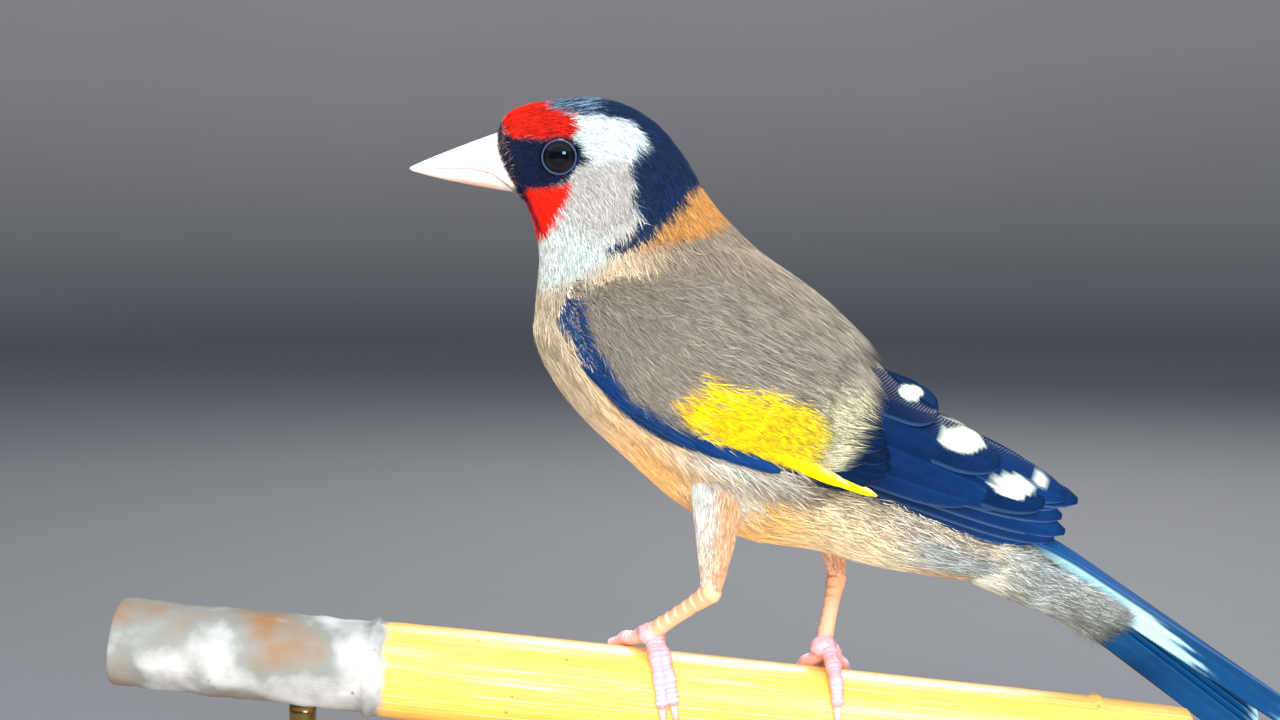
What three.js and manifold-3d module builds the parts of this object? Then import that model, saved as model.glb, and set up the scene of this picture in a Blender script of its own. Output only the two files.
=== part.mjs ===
// A life-size European goldfinch on a short length of cane, held by a small display stand.
// Millimetres, +Z up. The origin is the centre of the stand's underside.
// The bird faces -X and its left side is -Y.
import * as THREE from "three";
import { mergeVertices } from "three/addons/utils/BufferGeometryUtils.js";
import Module from "manifold-3d";

const wasm = await Module();
wasm.setup();

// Driving sizes
const GAP = 0.3; // between pieces that meet
const BREAST = new THREE.Vector3(-4.7, 0, 64); // middle of the breast, from which the bird is measured
const BODY_RINGS = 42;
const BODY_SIDES = 26;
const SWEEP_START = 8; // behind this the body and tail bend away to the right
const SWEEP_RATE = 0.0025;
const BILL = { length: 11.4, halfDepth: 3.55, halfWidth: 3.05, tip: 0.24, droop: 0.7, sides: 20 };
const NOSTRIL = { x: -16.9, y: 2.25, z: 24.6, radius: 0.42 };
const EYE = { x: -9.1, z: 23.4, radius: 2.3, seat: 1.45 }; // seat: depth of the ball's middle under the cheek
const LID = { ring: 1.95, thick: 0.36, out: 1.78 }; // out: how far the ring lies outside the ball's middle
const WING_ANGLE = THREE.MathUtils.degToRad(24); // the folded wing slopes down to its tip
const WING_BEND = { x: -8.7, z: 6.9 }; // the wrist of the folded wing
const VANE_THICK = 0.55;
const TAIL_ANGLE = THREE.MathUtils.degToRad(35.6);
const TAIL_ROOT = { x: 37.5, z: -15.0 };
const TAIL_LENGTH = 53;
const TAIL_STEP = 0.22; // each of the twelve feathers lies this much under the one before
const TAIL_FORK = 4.5; // how much shorter the middle feathers are
const TAIL_ROLL = THREE.MathUtils.degToRad(33); // the tail is twisted, left edge up
const PERCH_TILT = THREE.MathUtils.degToRad(6.2);
const PERCH_RADIUS = 5.7;
const PERCH_LENGTH = 127;
const PERCH_LEFT = { x: -61.8, z: -33.2 }; // middle of the cane's left end, from the breast
const BASE = { length: 132, width: 58, height: 6, bevel: 1 };
const ROD_RADIUS = 1.6;
const ROD_PLACES = { front: 22, rear: 106 }; // along the cane from its left end

// Body sections from the bill's base to the tail's root: middle of the section, lean of its upright
// from +Z towards the tail, depth, width, and how much fuller the upper half is than the lower.
const BODY = [
  { at: "bill base", x: -15.1, z: 22.9, lean: -18.5, depth: 7.9, width: 8.2, full: 0 },
  { at: "lores", x: -14.3, z: 23.4, lean: -10.2, depth: 11.5, width: 11.6, full: -0.04 },
  { at: "eyes", x: -11.0, z: 23.3, lean: 13.1, depth: 15.0, width: 14.6, full: -0.06 },
  { at: "ears", x: -7.7, z: 22.1, lean: 27.9, depth: 19.0, width: 16.4, full: -0.08 },
  { at: "nape", x: -5.1, z: 19.6, lean: 39.5, depth: 21.8, width: 17.2, full: -0.08 },
  { at: "lower nape", x: -3.3, z: 15.8, lean: 50.5, depth: 23.6, width: 18.2, full: -0.04 },
  { at: "neck", x: -2.1, z: 12.0, lean: 57.1, depth: 25.3, width: 20.4, full: 0 },
  { at: "shoulders", x: -0.5, z: 8.6, lean: 59.8, depth: 27.8, width: 23.6, full: 0.02 },
  { at: "breast", x: 1.9, z: 5.4, lean: 61.5, depth: 29.6, width: 26.6, full: 0.03 },
  { at: "mid back", x: 5.8, z: 1.2, lean: 59.3, depth: 30.7, width: 28.8, full: 0.03 },
  { at: "belly", x: 10.9, z: -3.5, lean: 56.5, depth: 30.4, width: 29.4, full: 0.03 },
  { at: "lower belly", x: 15.9, z: -8.1, lean: 50.1, depth: 29.2, width: 28, full: 0.03 },
  { at: "flanks", x: 21.4, z: -12.0, lean: 43.9, depth: 26.1, width: 25, full: 0.02 },
  { at: "vent", x: 27.2, z: -14.6, lean: 41.2, depth: 21.2, width: 21, full: 0 },
  { at: "rump", x: 32.4, z: -17.8, lean: 39, depth: 17.4, width: 17.2, full: 0 },
  { at: "coverts", x: 37.8, z: -20.6, lean: 37.5, depth: 13.2, width: 14.2, full: 0 },
  { at: "tail root", x: 43.3, z: -23.2, lean: 36, depth: 9.2, width: 12.2, full: 0 },
  { at: "tail coverts", x: 48.6, z: -26.2, lean: 35.6, depth: 6.2, width: 10.2, full: 0 },
];
const NECK_STATION = 4.6;
const TORSO_STATION = 7.2;
const TAIL_STATION = 13.6;

const lerp = THREE.MathUtils.lerp;
const smooth = THREE.MathUtils.smoothstep;

// Materials
const paint = (color, roughness, metalness = 0) =>
  new THREE.MeshStandardMaterial({ color, roughness, metalness });
const MATERIALS = {
  head: paint(0xd9d4cc, 0.9),
  brown: paint(0x9b7b58, 0.9),
  wing: paint(0x12141c, 0.7),
  tail: paint(0x14161f, 0.7),
  bill: paint(0xf1ded4, 0.45),
  eye: paint(0x0b0709, 0.1),
  leg: paint(0xe3a48c, 0.6),
  claw: paint(0xcdbfb6, 0.5),
  cane: paint(0xe0b25a, 0.5),
  base: paint(0x4a2f1e, 0.45),
  rod: paint(0xb9975a, 0.3, 1),
};

// Solids

// A closed geometry as a solid with its faces outwards.
function solidOf(geometry) {
  const bare = geometry.clone();
  bare.deleteAttribute("normal");
  bare.deleteAttribute("uv");
  const merged = mergeVertices(bare, 1e-4);
  const build = (turned) => {
    const index = new Uint32Array(merged.index.array);
    if (turned) {
      for (let i = 0; i < index.length; i += 3) {
        [index[i + 1], index[i + 2]] = [index[i + 2], index[i + 1]];
      }
    }
    return new wasm.Manifold(
      new wasm.Mesh({
        numProp: 3,
        vertProperties: merged.attributes.position.array,
        triVerts: index,
      }),
    );
  };
  const solid = build(false);
  return solid.volume() < 0 ? build(true) : solid;
}

// The largest closed body of a solid.
function largest(solid) {
  return solid.decompose().reduce((a, b) => (b.volume() > a.volume() ? b : a));
}

const union = (solids) => solids.reduce((all, one) => all.add(one));

// A named mesh of a solid that is measured from the breast, or from the origin when home is null.
function piece(name, solid, material, home = BREAST) {
  const made = largest(solid).getMesh();
  const geometry = new THREE.BufferGeometry();
  geometry.setAttribute("position", new THREE.BufferAttribute(made.vertProperties, 3));
  geometry.setIndex(new THREE.BufferAttribute(made.triVerts, 1));
  geometry.computeVertexNormals();
  const mesh = new THREE.Mesh(geometry, material);
  mesh.name = name;
  if (home) mesh.position.copy(home);
  return mesh;
}

// A closed skin over rings of equal count, with flat ends. With alike set, a ring of four corners
// is a vane and its two broad faces are split along the same diagonals.
function skin(rings, alike = false) {
  const count = rings[0].length;
  const points = rings.flat();
  const index = [];
  for (let i = 0; i + 1 < rings.length; i++) {
    for (let k = 0; k < count; k++) {
      const a = i * count + k;
      const b = i * count + ((k + 1) % count);
      const c = b + count;
      const d = a + count;
      if (alike && k >= 2) index.push(a, b, d, b, c, d);
      else index.push(a, b, c, a, c, d);
    }
  }
  const last = (rings.length - 1) * count;
  for (let k = 1; k + 1 < count; k++) {
    index.push(0, k + 1, k, last, last + k, last + k + 1);
  }
  const geometry = new THREE.BufferGeometry();
  const flat = points.flatMap((p) => [p.x, p.y, p.z]);
  geometry.setAttribute("position", new THREE.Float32BufferAttribute(flat, 3));
  geometry.setIndex(index);
  return solidOf(geometry);
}

// A tube along points, with a radius at each; the section is flat or deep by the ratio across.
function tube(points, radii, sides, across = 1) {
  const rings = points.map((p, i) => {
    const before = points[Math.max(0, i - 1)];
    const after = points[Math.min(points.length - 1, i + 1)];
    const along = after.clone().sub(before).normalize();
    const side = new THREE.Vector3(0, 1, 0).addScaledVector(along, -along.y).normalize();
    if (side.lengthSq() < 0.5) side.set(1, 0, 0);
    const up = new THREE.Vector3().crossVectors(along, side);
    return Array.from({ length: sides }, (_, k) => {
      const turn = (2 * Math.PI * k) / sides;
      return p
        .clone()
        .addScaledVector(side, radii[i] * across * Math.cos(turn))
        .addScaledVector(up, radii[i] * Math.sin(turn));
    });
  });
  return skin(rings);
}

// A Catmull-Rom value at t along a list of values.
function along(values, t) {
  const i = Math.min(values.length - 2, Math.max(0, Math.floor(t)));
  const u = t - i;
  const b = values[i];
  const c = values[i + 1];
  const a = i > 0 ? values[i - 1] : 2 * b - c;
  const d = i + 2 < values.length ? values[i + 2] : 2 * c - b;
  return b + 0.5 * u * (c - a + u * (2 * a - 5 * b + 4 * c - d + u * (3 * (b - c) + d - a)));
}

// How far the body bends away from its own middle plane at x.
const sweep = (x) => SWEEP_RATE * Math.max(0, x - SWEEP_START) ** 2;

// Body

function bodySection(t) {
  const keys = ["x", "z", "lean", "depth", "width", "full"];
  return Object.fromEntries(keys.map((key) => [key, along(BODY.map((row) => row[key]), t)]));
}

function bodyRing(t, grow) {
  const s = bodySection(t);
  const lean = THREE.MathUtils.degToRad(s.lean);
  return Array.from({ length: BODY_SIDES }, (_, k) => {
    const turn = (2 * Math.PI * k) / BODY_SIDES;
    const up = (s.depth / 2 + grow) * Math.cos(turn);
    const out = (s.width / 2 + grow) * Math.sin(turn) * (1 + s.full * Math.cos(turn));
    const x = s.x + up * Math.sin(lean);
    return new THREE.Vector3(x, out + sweep(x), s.z + up * Math.cos(lean));
  });
}

// The whole plumage of head, neck, body and tail root as one skin, grown outwards by grow.
function bodySolid(grow = 0) {
  const last = BODY.length - 1;
  const rings = Array.from({ length: BODY_RINGS }, (_, i) => bodyRing((last * i) / (BODY_RINGS - 1), grow));
  if (grow > 0) {
    const shift = (ring, step) => ring.map((p) => p.clone().add(step));
    rings.unshift(shift(rings[0], new THREE.Vector3(-grow, 0, 0)));
    rings.push(shift(rings.at(-1), new THREE.Vector3(grow, 0, -grow)));
  }
  return skin(rings);
}

// A thin flat sheet across the body at a section, which parts it in two.
function partingSheet(t) {
  const s = bodySection(t);
  const sheet = new THREE.BoxGeometry(GAP, 80, 80);
  sheet.rotateY(THREE.MathUtils.degToRad(s.lean));
  sheet.translate(s.x, 0, s.z);
  return solidOf(sheet);
}

// Splits a solid by the sheet at a section into the part towards the bill and the part towards the tail.
function partAt(solid, t) {
  const s = bodySection(t);
  const lean = THREE.MathUtils.degToRad(s.lean);
  const halves = solid.subtract(partingSheet(t)).decompose();
  const side = (half) => {
    const box = half.boundingBox();
    const x = (box.min[0] + box.max[0]) / 2 - s.x;
    const z = (box.min[2] + box.max[2]) / 2 - s.z;
    return x * Math.cos(lean) - z * Math.sin(lean);
  };
  const front = halves.filter((half) => side(half) < 0);
  const rear = halves.filter((half) => side(half) >= 0);
  return [largest(union(front)), largest(union(rear))];
}

// Half of the body's width where its middle plane passes x and z, or 0 outside its outline.
function bodyHalfWidth(x, z) {
  const off = (t) => {
    const s = bodySection(t);
    const lean = THREE.MathUtils.degToRad(s.lean);
    return (x - s.x) * Math.cos(lean) - (z - s.z) * Math.sin(lean);
  };
  let low = 0;
  let high = BODY.length - 1;
  for (let i = 0; i < 40; i++) {
    const mid = (low + high) / 2;
    if (off(mid) > 0) low = mid;
    else high = mid;
  }
  const s = bodySection(low);
  const lean = THREE.MathUtils.degToRad(s.lean);
  const up = ((x - s.x) * Math.sin(lean) + (z - s.z) * Math.cos(lean)) / (s.depth / 2);
  if (Math.abs(up) >= 1) return 0;
  return (s.width / 2) * Math.sqrt(1 - up * up) * (1 + s.full * up);
}

// Bill

function billRing(t) {
  const base = BODY[0];
  const lean = THREE.MathUtils.degToRad(base.lean) * (1 - t);
  const x = base.x - GAP - BILL.length * t;
  const z = base.z + 0.1 - BILL.droop * t;
  const taper = Math.pow(1 - t, 0.86);
  const depth = BILL.tip + BILL.halfDepth * taper;
  const width = BILL.tip + BILL.halfWidth * taper;
  return Array.from({ length: BILL.sides }, (_, k) => {
    const turn = (2 * Math.PI * k) / BILL.sides;
    const up = depth * Math.cos(turn);
    const pinch = 1 - 0.14 * Math.max(0, Math.cos(turn)); // the culmen is a narrow ridge
    const out = width * Math.sin(turn) * pinch;
    return new THREE.Vector3(x + up * Math.sin(lean), out, z + up * Math.cos(lean));
  });
}

// The mouth line from the gape to past the tip, as x and z.
const MOUTH_LINE = [
  [-12.5, 17.6],
  [-15.1, 20.2],
  [-17.0, 21.7],
  [-19.6, 22.3],
  [-23.5, 22.3],
  [-28.5, 22.15],
];

// A thin sheet along the mouth line, which parts the two halves of the bill.
function mouthSheet() {
  const upper = MOUTH_LINE.map(([x, z]) => new THREE.Vector2(x, z + GAP / 2));
  const lower = MOUTH_LINE.map(([x, z]) => new THREE.Vector2(x, z - GAP / 2)).reverse();
  const sheet = new THREE.ExtrudeGeometry(new THREE.Shape([...upper, ...lower]), {
    depth: 20,
    bevelEnabled: false,
    steps: 1,
  });
  sheet.rotateX(Math.PI / 2);
  sheet.translate(0, 10, 0);
  return solidOf(sheet);
}

function billSolids() {
  const steps = [0, 0.1, 0.22, 0.36, 0.5, 0.64, 0.77, 0.88, 0.96, 1];
  let whole = skin(steps.map(billRing));
  for (const side of [-1, 1]) {
    const nostril = new THREE.SphereGeometry(NOSTRIL.radius, 8, 6);
    nostril.scale(1.3, 1, 0.8);
    nostril.translate(NOSTRIL.x, side * NOSTRIL.y, NOSTRIL.z);
    whole = whole.subtract(solidOf(nostril));
  }
  const halves = whole.subtract(mouthSheet()).decompose();
  const height = (half) => half.boundingBox().max[2];
  halves.sort((a, b) => b.volume() - a.volume());
  const [upper, lower] = halves.slice(0, 2).sort((a, b) => height(b) - height(a));
  return { upper, lower };
}

// Eyes

function eyeCentre(side) {
  return new THREE.Vector3(EYE.x, side * (bodyHalfWidth(EYE.x, EYE.z) - EYE.seat), EYE.z);
}

function eyeBall(side, grow = 0) {
  const ball = new THREE.SphereGeometry(EYE.radius + grow, 16, 9);
  ball.translate(...eyeCentre(side).toArray());
  return solidOf(ball);
}

// The bare ring of skin round the eye.
function eyeLid(side) {
  const ring = new THREE.TorusGeometry(LID.ring, LID.thick, 5, 16);
  ring.rotateX(Math.PI / 2);
  const centre = eyeCentre(side);
  ring.translate(centre.x, centre.y + side * LID.out, centre.z);
  return solidOf(ring);
}

// Feathers

const VANE_STEPS = [0, 0.4, 0.74, 0.91, 1];

// Share of a feather's full width at t from its root: narrow quill, even vane, rounded tip.
function vaneWidth(t) {
  const quill = lerp(0.55, 1, smooth(t, 0, 0.4));
  const round = t < 0.8 ? 1 : Math.sqrt(Math.max(0, 1 - ((t - 0.8) / 0.205) ** 2));
  return quill * Math.max(0.2, round);
}

// One feather as a thin closed vane on the surface that place gives. root and tip are places on that
// surface, lift is the height over it at both, and tuck lowers the upper edge and lifts the lower one.
function vane(place, { root, tip, half, lift, tuck = 0, bow = 0, grow = 0 }) {
  const run = [tip[0] - root[0], tip[1] - root[1]];
  const length = Math.hypot(...run);
  const dir = run.map((v) => v / length);
  const rings = VANE_STEPS.map((t) => {
    const bend = 4 * bow * t * (1 - t);
    const reach = t + (t === 1 ? grow / length : 0);
    const a = root[0] + run[0] * reach - dir[1] * bend;
    const b = root[1] + run[1] * reach + dir[0] * bend;
    const wide = half * vaneWidth(t) + grow;
    const high = lerp(lift[0], lift[1], t);
    const thick = VANE_THICK / 2 + grow;
    const corner = (side, face) =>
      place(a - dir[1] * wide * side, b + dir[0] * wide * side, high - side * tuck + face * thick);
    return [corner(-1, 1), corner(1, 1), corner(1, -1), corner(-1, -1)];
  });
  return skin(rings, true);
}

// Wings

// Distance of the folded wing's under-surface from the bird's middle plane, by place on the wing.
function wingOut(p, q) {
  const mid = lerp(lerp(9.4, 14.6, smooth(p, -2, 16)), 5.2, smooth(p, 20, 66));
  const bulge = lerp(15.5, 8.4, smooth(p, 18, 46));
  const turn = Math.min(0.97, Math.abs(q + 2) / bulge);
  return mid * Math.sqrt(1 - turn * turn);
}

const wingX = (p, q) => WING_BEND.x + p * Math.cos(WING_ANGLE) + q * Math.sin(WING_ANGLE);
const wingZ = (p, q) => WING_BEND.z - p * Math.sin(WING_ANGLE) + q * Math.cos(WING_ANGLE);

// A point of the wing on one side: p along it, q across it towards the back, out over its under-surface.
function wingPlace(side) {
  return (p, q, out) => {
    const x = wingX(p, q);
    return new THREE.Vector3(x, side * (wingOut(p, q) + out) + sweep(x), wingZ(p, q));
  };
}

// Edges of the shoulder and its small coverts, from the wrist back to where the long feathers leave it.
const SHOULDER_LOW = [-1.5, -5.2, -7.6, -8.6, -8.2, -7.2, -6.4];
const SHOULDER_HIGH = [2.5, 7.6, 10.6, 11.8, 11.4, 10.2, 8.2];
const SHOULDER = {
  end: 33,
  thick: 1.9,
  edge: 1.5, // least height off the body
  deep: 2.5,
  rows: 12,
  columns: 10,
};

// The feathered shoulder as a closed cushion that lies on the body.
function shoulder(side) {
  const place = wingPlace(side);
  const rings = [];
  for (let i = 0; i <= SHOULDER.rows; i++) {
    const u = i / SHOULDER.rows;
    const p = SHOULDER.end * u;
    const low = along(SHOULDER_LOW, u * (SHOULDER_LOW.length - 1));
    const high = along(SHOULDER_HIGH, u * (SHOULDER_HIGH.length - 1));
    const ring = [];
    const thick = SHOULDER.thick * Math.min(1, 0.1 + 2.6 * u) * Math.min(1, 0.55 + 3 * (1 - u));
    for (let j = 0; j <= SHOULDER.columns; j++) {
      const v = j / SHOULDER.columns;
      const q = lerp(low, high, v);
      const dome = Math.sqrt(1 - Math.pow(2 * v - 1, 4));
      const under = bodyHalfWidth(wingX(p, q), wingZ(p, q)) - wingOut(p, q);
      ring.push(place(p, q, Math.max(0.15 + thick * dome, under + SHOULDER.edge)));
    }
    for (const v of [1, 0.75, 0.5, 0.25, 0]) {
      ring.push(place(p, lerp(low, high, v), -SHOULDER.deep));
    }
    rings.push(ring);
  }
  return skin(rings);
}

// The tiers of feathers of one wing, from the primaries to the scapulars that lie over all the others.
const WING_TIERS = {
  primaries: {
    count: 7,
    root: [[17, -5.6], [24, -1.5]],
    tip: [[59.5, -4.2], [64.5, 3.2]],
    half: [1.7, 2.0],
    lift: [0.35, 1.15],
  },
  secondaries: {
    count: 5,
    root: [[21, -2.5], [25, 2.5]],
    tip: [[57, -0.6], [60.5, 3.4]],
    half: [2.1, 2.3],
    lift: [1.25, 1.65],
  },
  tertials: {
    count: 3,
    root: [[24, 1.5], [26, 6.0]],
    tip: [[58.8, 1.9], [44.2, 7.3]],
    half: [2.8, 2.4],
    lift: [1.95, 2.65],
  },
  primaryCoverts: {
    count: 3,
    root: [[5, -5.8], [10, -5.6]],
    tip: [[29, -7.6], [24, -5.6]],
    half: [1.2, 1.3],
    lift: [0.9, 1.7],
  },
  greaterCoverts: {
    count: 7,
    root: [[14, -4.6], [22, 1.2]],
    tip: [[41.0, -5.3], [33.5, 1.8]],
    half: [1.5, 1.9],
    lift: [1.75, 2.3],
  },
  scapulars: {
    count: 5,
    root: [[20, -0.5], [26, 6.5]],
    tip: [[35.2, -2.8], [40.5, 5.4]],
    half: [2.0, 2.1],
    lift: [2.6, 3.1],
  },
};

function wingFeathers(side) {
  const place = wingPlace(side);
  return Object.values(WING_TIERS).flatMap((tier) =>
    Array.from({ length: tier.count }, (_, k) => {
      const u = k / (tier.count - 1);
      const mix = (pair) => [lerp(pair[0][0], pair[1][0], u), lerp(pair[0][1], pair[1][1], u)];
      const high = lerp(...tier.lift, u);
      return vane(place, {
        root: mix(tier.root),
        tip: mix(tier.tip),
        half: lerp(...tier.half, u),
        lift: [high - 0.5, high],
        tuck: 0.12,
        bow: -0.5,
      });
    }),
  );
}

// Tail

// A point of the tail: a along it, b across it towards the bird's right, c above its upper face.
function tailPlace(a, b, c) {
  const roll = TAIL_ROLL * smooth(a, -12, 18);
  const across = b * Math.cos(roll) + c * Math.sin(roll);
  const up = c * Math.cos(roll) - b * Math.sin(roll);
  const x = TAIL_ROOT.x + a * Math.cos(TAIL_ANGLE) + up * Math.sin(TAIL_ANGLE);
  const z = TAIL_ROOT.z - a * Math.sin(TAIL_ANGLE) + up * Math.cos(TAIL_ANGLE);
  return new THREE.Vector3(x, across + sweep(x), z);
}

// The twelve tail feathers, the middle pair on top and each pair outwards below the last.
function tailFeathers(grow = 0) {
  const feathers = [];
  for (let pair = 0; pair < 6; pair++) {
    for (const side of [-1, 1]) {
      const layer = -TAIL_STEP * (2 * pair + (side < 0 ? 1 : 0));
      const length = TAIL_LENGTH - TAIL_FORK * (1 - pair / 5);
      feathers.push(
        vane(tailPlace, {
          root: [0, side * (0.3 + 0.32 * pair)],
          tip: [length, side * (1.3 + 0.82 * pair)],
          half: 2.7,
          lift: [layer, layer],
          bow: 0,
          grow,
        }),
      );
    }
  }
  return feathers;
}

// Legs

// A feathered thigh from inside the belly down to the heel.
function thigh(leg, grow = 0) {
  const points = [0, 0.45, 0.8, 1].map((t) => leg.hip.clone().lerp(leg.heel, t));
  const radii = [1, 0.88, 0.68, 0.52].map((share) => share * leg.thick + grow);
  const end = leg.heel.clone().sub(leg.hip).normalize();
  points.push(leg.heel.clone().addScaledVector(end, 0.7 + grow));
  radii.push(0.8 + grow);
  return tube(points, radii, 14);
}

function shank(leg, grow = 0) {
  const points = [0, 0.12, 0.3, 0.6, 0.85, 1].map((t) => leg.heel.clone().lerp(leg.ball, t));
  const radii = [1.3, 1.15, 0.98, 0.92, 0.98, 1.1].map((r) => r + grow);
  return tube(points, radii, 12, 0.86);
}

// A point near the cane: s along it, turn from its top towards the bird's left, high over its surface.
function canePlace(s, turn, high) {
  const r = PERCH_RADIUS + high;
  const up = r * Math.cos(turn);
  return new THREE.Vector3(
    PERCH_LEFT.x + s * Math.cos(PERCH_TILT) + up * Math.sin(PERCH_TILT),
    -r * Math.sin(turn),
    PERCH_LEFT.z - s * Math.sin(PERCH_TILT) + up * Math.cos(PERCH_TILT),
  );
}

const TOE_CLEAR = GAP + 0.06;

// The path of one toe and its claw over the cane at t from 0, the toe's root, to 1, the claw's tip.
function toePoint(toe, t) {
  const turn = THREE.MathUtils.degToRad(lerp(toe.turn[0], toe.turn[1], t));
  const s = lerp(toe.s[0], toe.s[1], Math.pow(t, 0.8));
  const settle = Math.pow(Math.max(0, 1 - t / 0.22), 1.5);
  return canePlace(s, turn, TOE_CLEAR + toeRadius(toe, t) + 0.9 * settle);
}

function toeRadius(toe, t) {
  if (t > toe.split) return lerp(0.52, 0.16, (t - toe.split) / (1 - toe.split));
  const pads = 1 + 0.09 * Math.cos((2 * Math.PI * toe.joints * t) / toe.split);
  return lerp(0.95, 0.72, t / toe.split) * pads;
}

function toeTube(toe, from, to, steps, sides) {
  const ts = Array.from({ length: steps + 1 }, (_, i) => lerp(from, to, i / steps));
  return tube(ts.map((t) => toePoint(toe, t)), ts.map((t) => toeRadius(toe, t)), sides);
}

// s is measured along the cane from its left end, turn in degrees from its top towards the bird's left.
const LEGS = {
  left: {
    hip: new THREE.Vector3(9.2, -7.0, -12.5),
    heel: new THREE.Vector3(8.1, -9.6, -25.7),
    ball: new THREE.Vector3(1.2, -1.0, -32.1),
    thick: 3.6,
    toes: [
      { name: "inner", s: [62.3, 56.6], turn: [0, -66], split: 0.66, joints: 2 },
      { name: "middle", s: [62.6, 65.4], turn: [7, 122], split: 0.68, joints: 3 },
      { name: "outer", s: [63.0, 67.0], turn: [7, 116], split: 0.68, joints: 3 },
      { name: "hind", s: [63.2, 65.0], turn: [6, -122], split: 0.62, joints: 1 },
    ],
  },
  right: {
    hip: new THREE.Vector3(22.6, 6.8, -14.5),
    heel: new THREE.Vector3(24.2, 10.6, -27.6),
    ball: new THREE.Vector3(21.8, 1.7, -34.2),
    thick: 3.3,
    toes: [
      { name: "inner", s: [84.2, 88.2], turn: [-14, -78], split: 0.66, joints: 2 },
      { name: "middle", s: [83.8, 85.2], turn: [-8, 100], split: 0.68, joints: 3 },
      { name: "outer", s: [83.4, 79.6], turn: [-14, -80], split: 0.66, joints: 2 },
      { name: "hind", s: [83.9, 84.4], turn: [-13, -134], split: 0.62, joints: 1 },
    ],
  },
};

// The foot: its ball and four toes as one body.
function foot(leg) {
  const ball = new THREE.SphereGeometry(1.5, 10, 7);
  ball.scale(1.1, 1.1, 0.8);
  ball.translate(leg.ball.x, leg.ball.y, leg.ball.z - 0.1);
  const toes = leg.toes.map((toe) => toeTube(toe, 0, toe.split, 8, 8));
  return union([solidOf(ball), ...toes]);
}

function claw(toe) {
  const gap = GAP / 11;
  return toeTube(toe, toe.split + gap, 1, 5, 6);
}

// Perch and stand

// The cane as [distance from its left end, radius] with a joint near each end.
const CANE_PROFILE = [
  [0, 4.9],
  [0.5, 5.15],
  [27, 5.3],
  [29.6, 5.45],
  [30.4, 5.95],
  [31.2, 5.6],
  [40, 5.66],
  [58, PERCH_RADIUS],
  [90, PERCH_RADIUS],
  [114.6, 5.72],
  [116.0, 6.15],
  [117.0, 5.7],
  [126.5, 5.6],
  [PERCH_LENGTH, 5.35],
];

function cane(grow = 0) {
  const profile = CANE_PROFILE.map(([s, r]) => new THREE.Vector2(r + grow, s));
  profile.unshift(new THREE.Vector2(0, -grow));
  profile.push(new THREE.Vector2(0, PERCH_LENGTH + grow));
  const body = new THREE.LatheGeometry(profile, 20);
  body.rotateZ(-Math.PI / 2);
  body.rotateY(PERCH_TILT);
  body.translate(PERCH_LEFT.x, 0, PERCH_LEFT.z);
  return solidOf(body);
}

function baseSolid() {
  const r = BASE.width / 2 - BASE.bevel;
  const straight = BASE.length / 2 - BASE.width / 2;
  const shape = new THREE.Shape();
  shape.moveTo(-straight, -r);
  shape.lineTo(straight, -r);
  shape.absarc(straight, 0, r, -Math.PI / 2, Math.PI / 2);
  shape.lineTo(-straight, r);
  shape.absarc(-straight, 0, r, Math.PI / 2, (3 * Math.PI) / 2);
  const plate = new THREE.ExtrudeGeometry(shape, {
    depth: BASE.height - 2 * BASE.bevel,
    bevelSize: BASE.bevel,
    bevelThickness: BASE.bevel,
    bevelSegments: 1,
    curveSegments: 14,
  });
  plate.translate(0, 0, BASE.bevel);
  return solidOf(plate);
}

// A rod stands under the cane at s along it, and its top is cut to the cane.
function rodSolid(s, perch) {
  const top = canePlace(s, 0, -PERCH_RADIUS).add(BREAST);
  const foot = BASE.height + GAP;
  const rod = new THREE.CylinderGeometry(ROD_RADIUS, ROD_RADIUS, top.z - foot, 16);
  rod.rotateX(Math.PI / 2);
  rod.translate(top.x, 0, (top.z + foot) / 2);
  return solidOf(rod).subtract(perch.translate(BREAST.toArray()));
}

// Assembly

const goldfinch = new THREE.Group();
const add = (...args) => goldfinch.add(piece(...args));

const room = bodySolid(GAP);
const [upToTorso, rump] = partAt(bodySolid(), TAIL_STATION);
const [headAndNeck, torso] = partAt(upToTorso, TORSO_STATION);
let [head, neck] = partAt(headAndNeck, NECK_STATION);
for (const side of [-1, 1]) {
  head = head.add(eyeLid(side)).subtract(eyeBall(side, GAP));
}
add("head", head, MATERIALS.head);
add("neck", neck, MATERIALS.brown);
add("torso", torso, MATERIALS.brown);
add("eye_left", eyeBall(-1), MATERIALS.eye);
add("eye_right", eyeBall(1), MATERIALS.eye);
const bill = billSolids();
add("bill_upper", bill.upper, MATERIALS.bill);
add("bill_lower", bill.lower, MATERIALS.bill);

add("tail", union([rump, ...tailFeathers()]), MATERIALS.tail);
const tailRoom = union(tailFeathers(GAP));
for (const [name, side] of [["wing_left", -1], ["wing_right", 1]]) {
  const wing = union([shoulder(side), ...wingFeathers(side)]);
  add(name, wing.subtract(room).subtract(tailRoom), MATERIALS.wing);
}

const perchRoom = cane(GAP);
for (const [name, leg] of Object.entries(LEGS)) {
  add("thigh_" + name, thigh(leg).subtract(room), MATERIALS.brown);
  add("shank_" + name, shank(leg).subtract(thigh(leg, GAP)), MATERIALS.leg);
  add("foot_" + name, foot(leg).subtract(shank(leg, GAP)).subtract(perchRoom), MATERIALS.leg);
  for (const toe of leg.toes) {
    add("claw_" + name + "_" + toe.name, claw(toe), MATERIALS.claw);
  }
}

add("perch", cane(), MATERIALS.cane);
add("stand_base", baseSolid(), MATERIALS.base, null);
for (const [name, s] of Object.entries(ROD_PLACES)) {
  add("stand_rod_" + name, rodSolid(s, perchRoom), MATERIALS.rod, null);
}

export default goldfinch;
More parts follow.
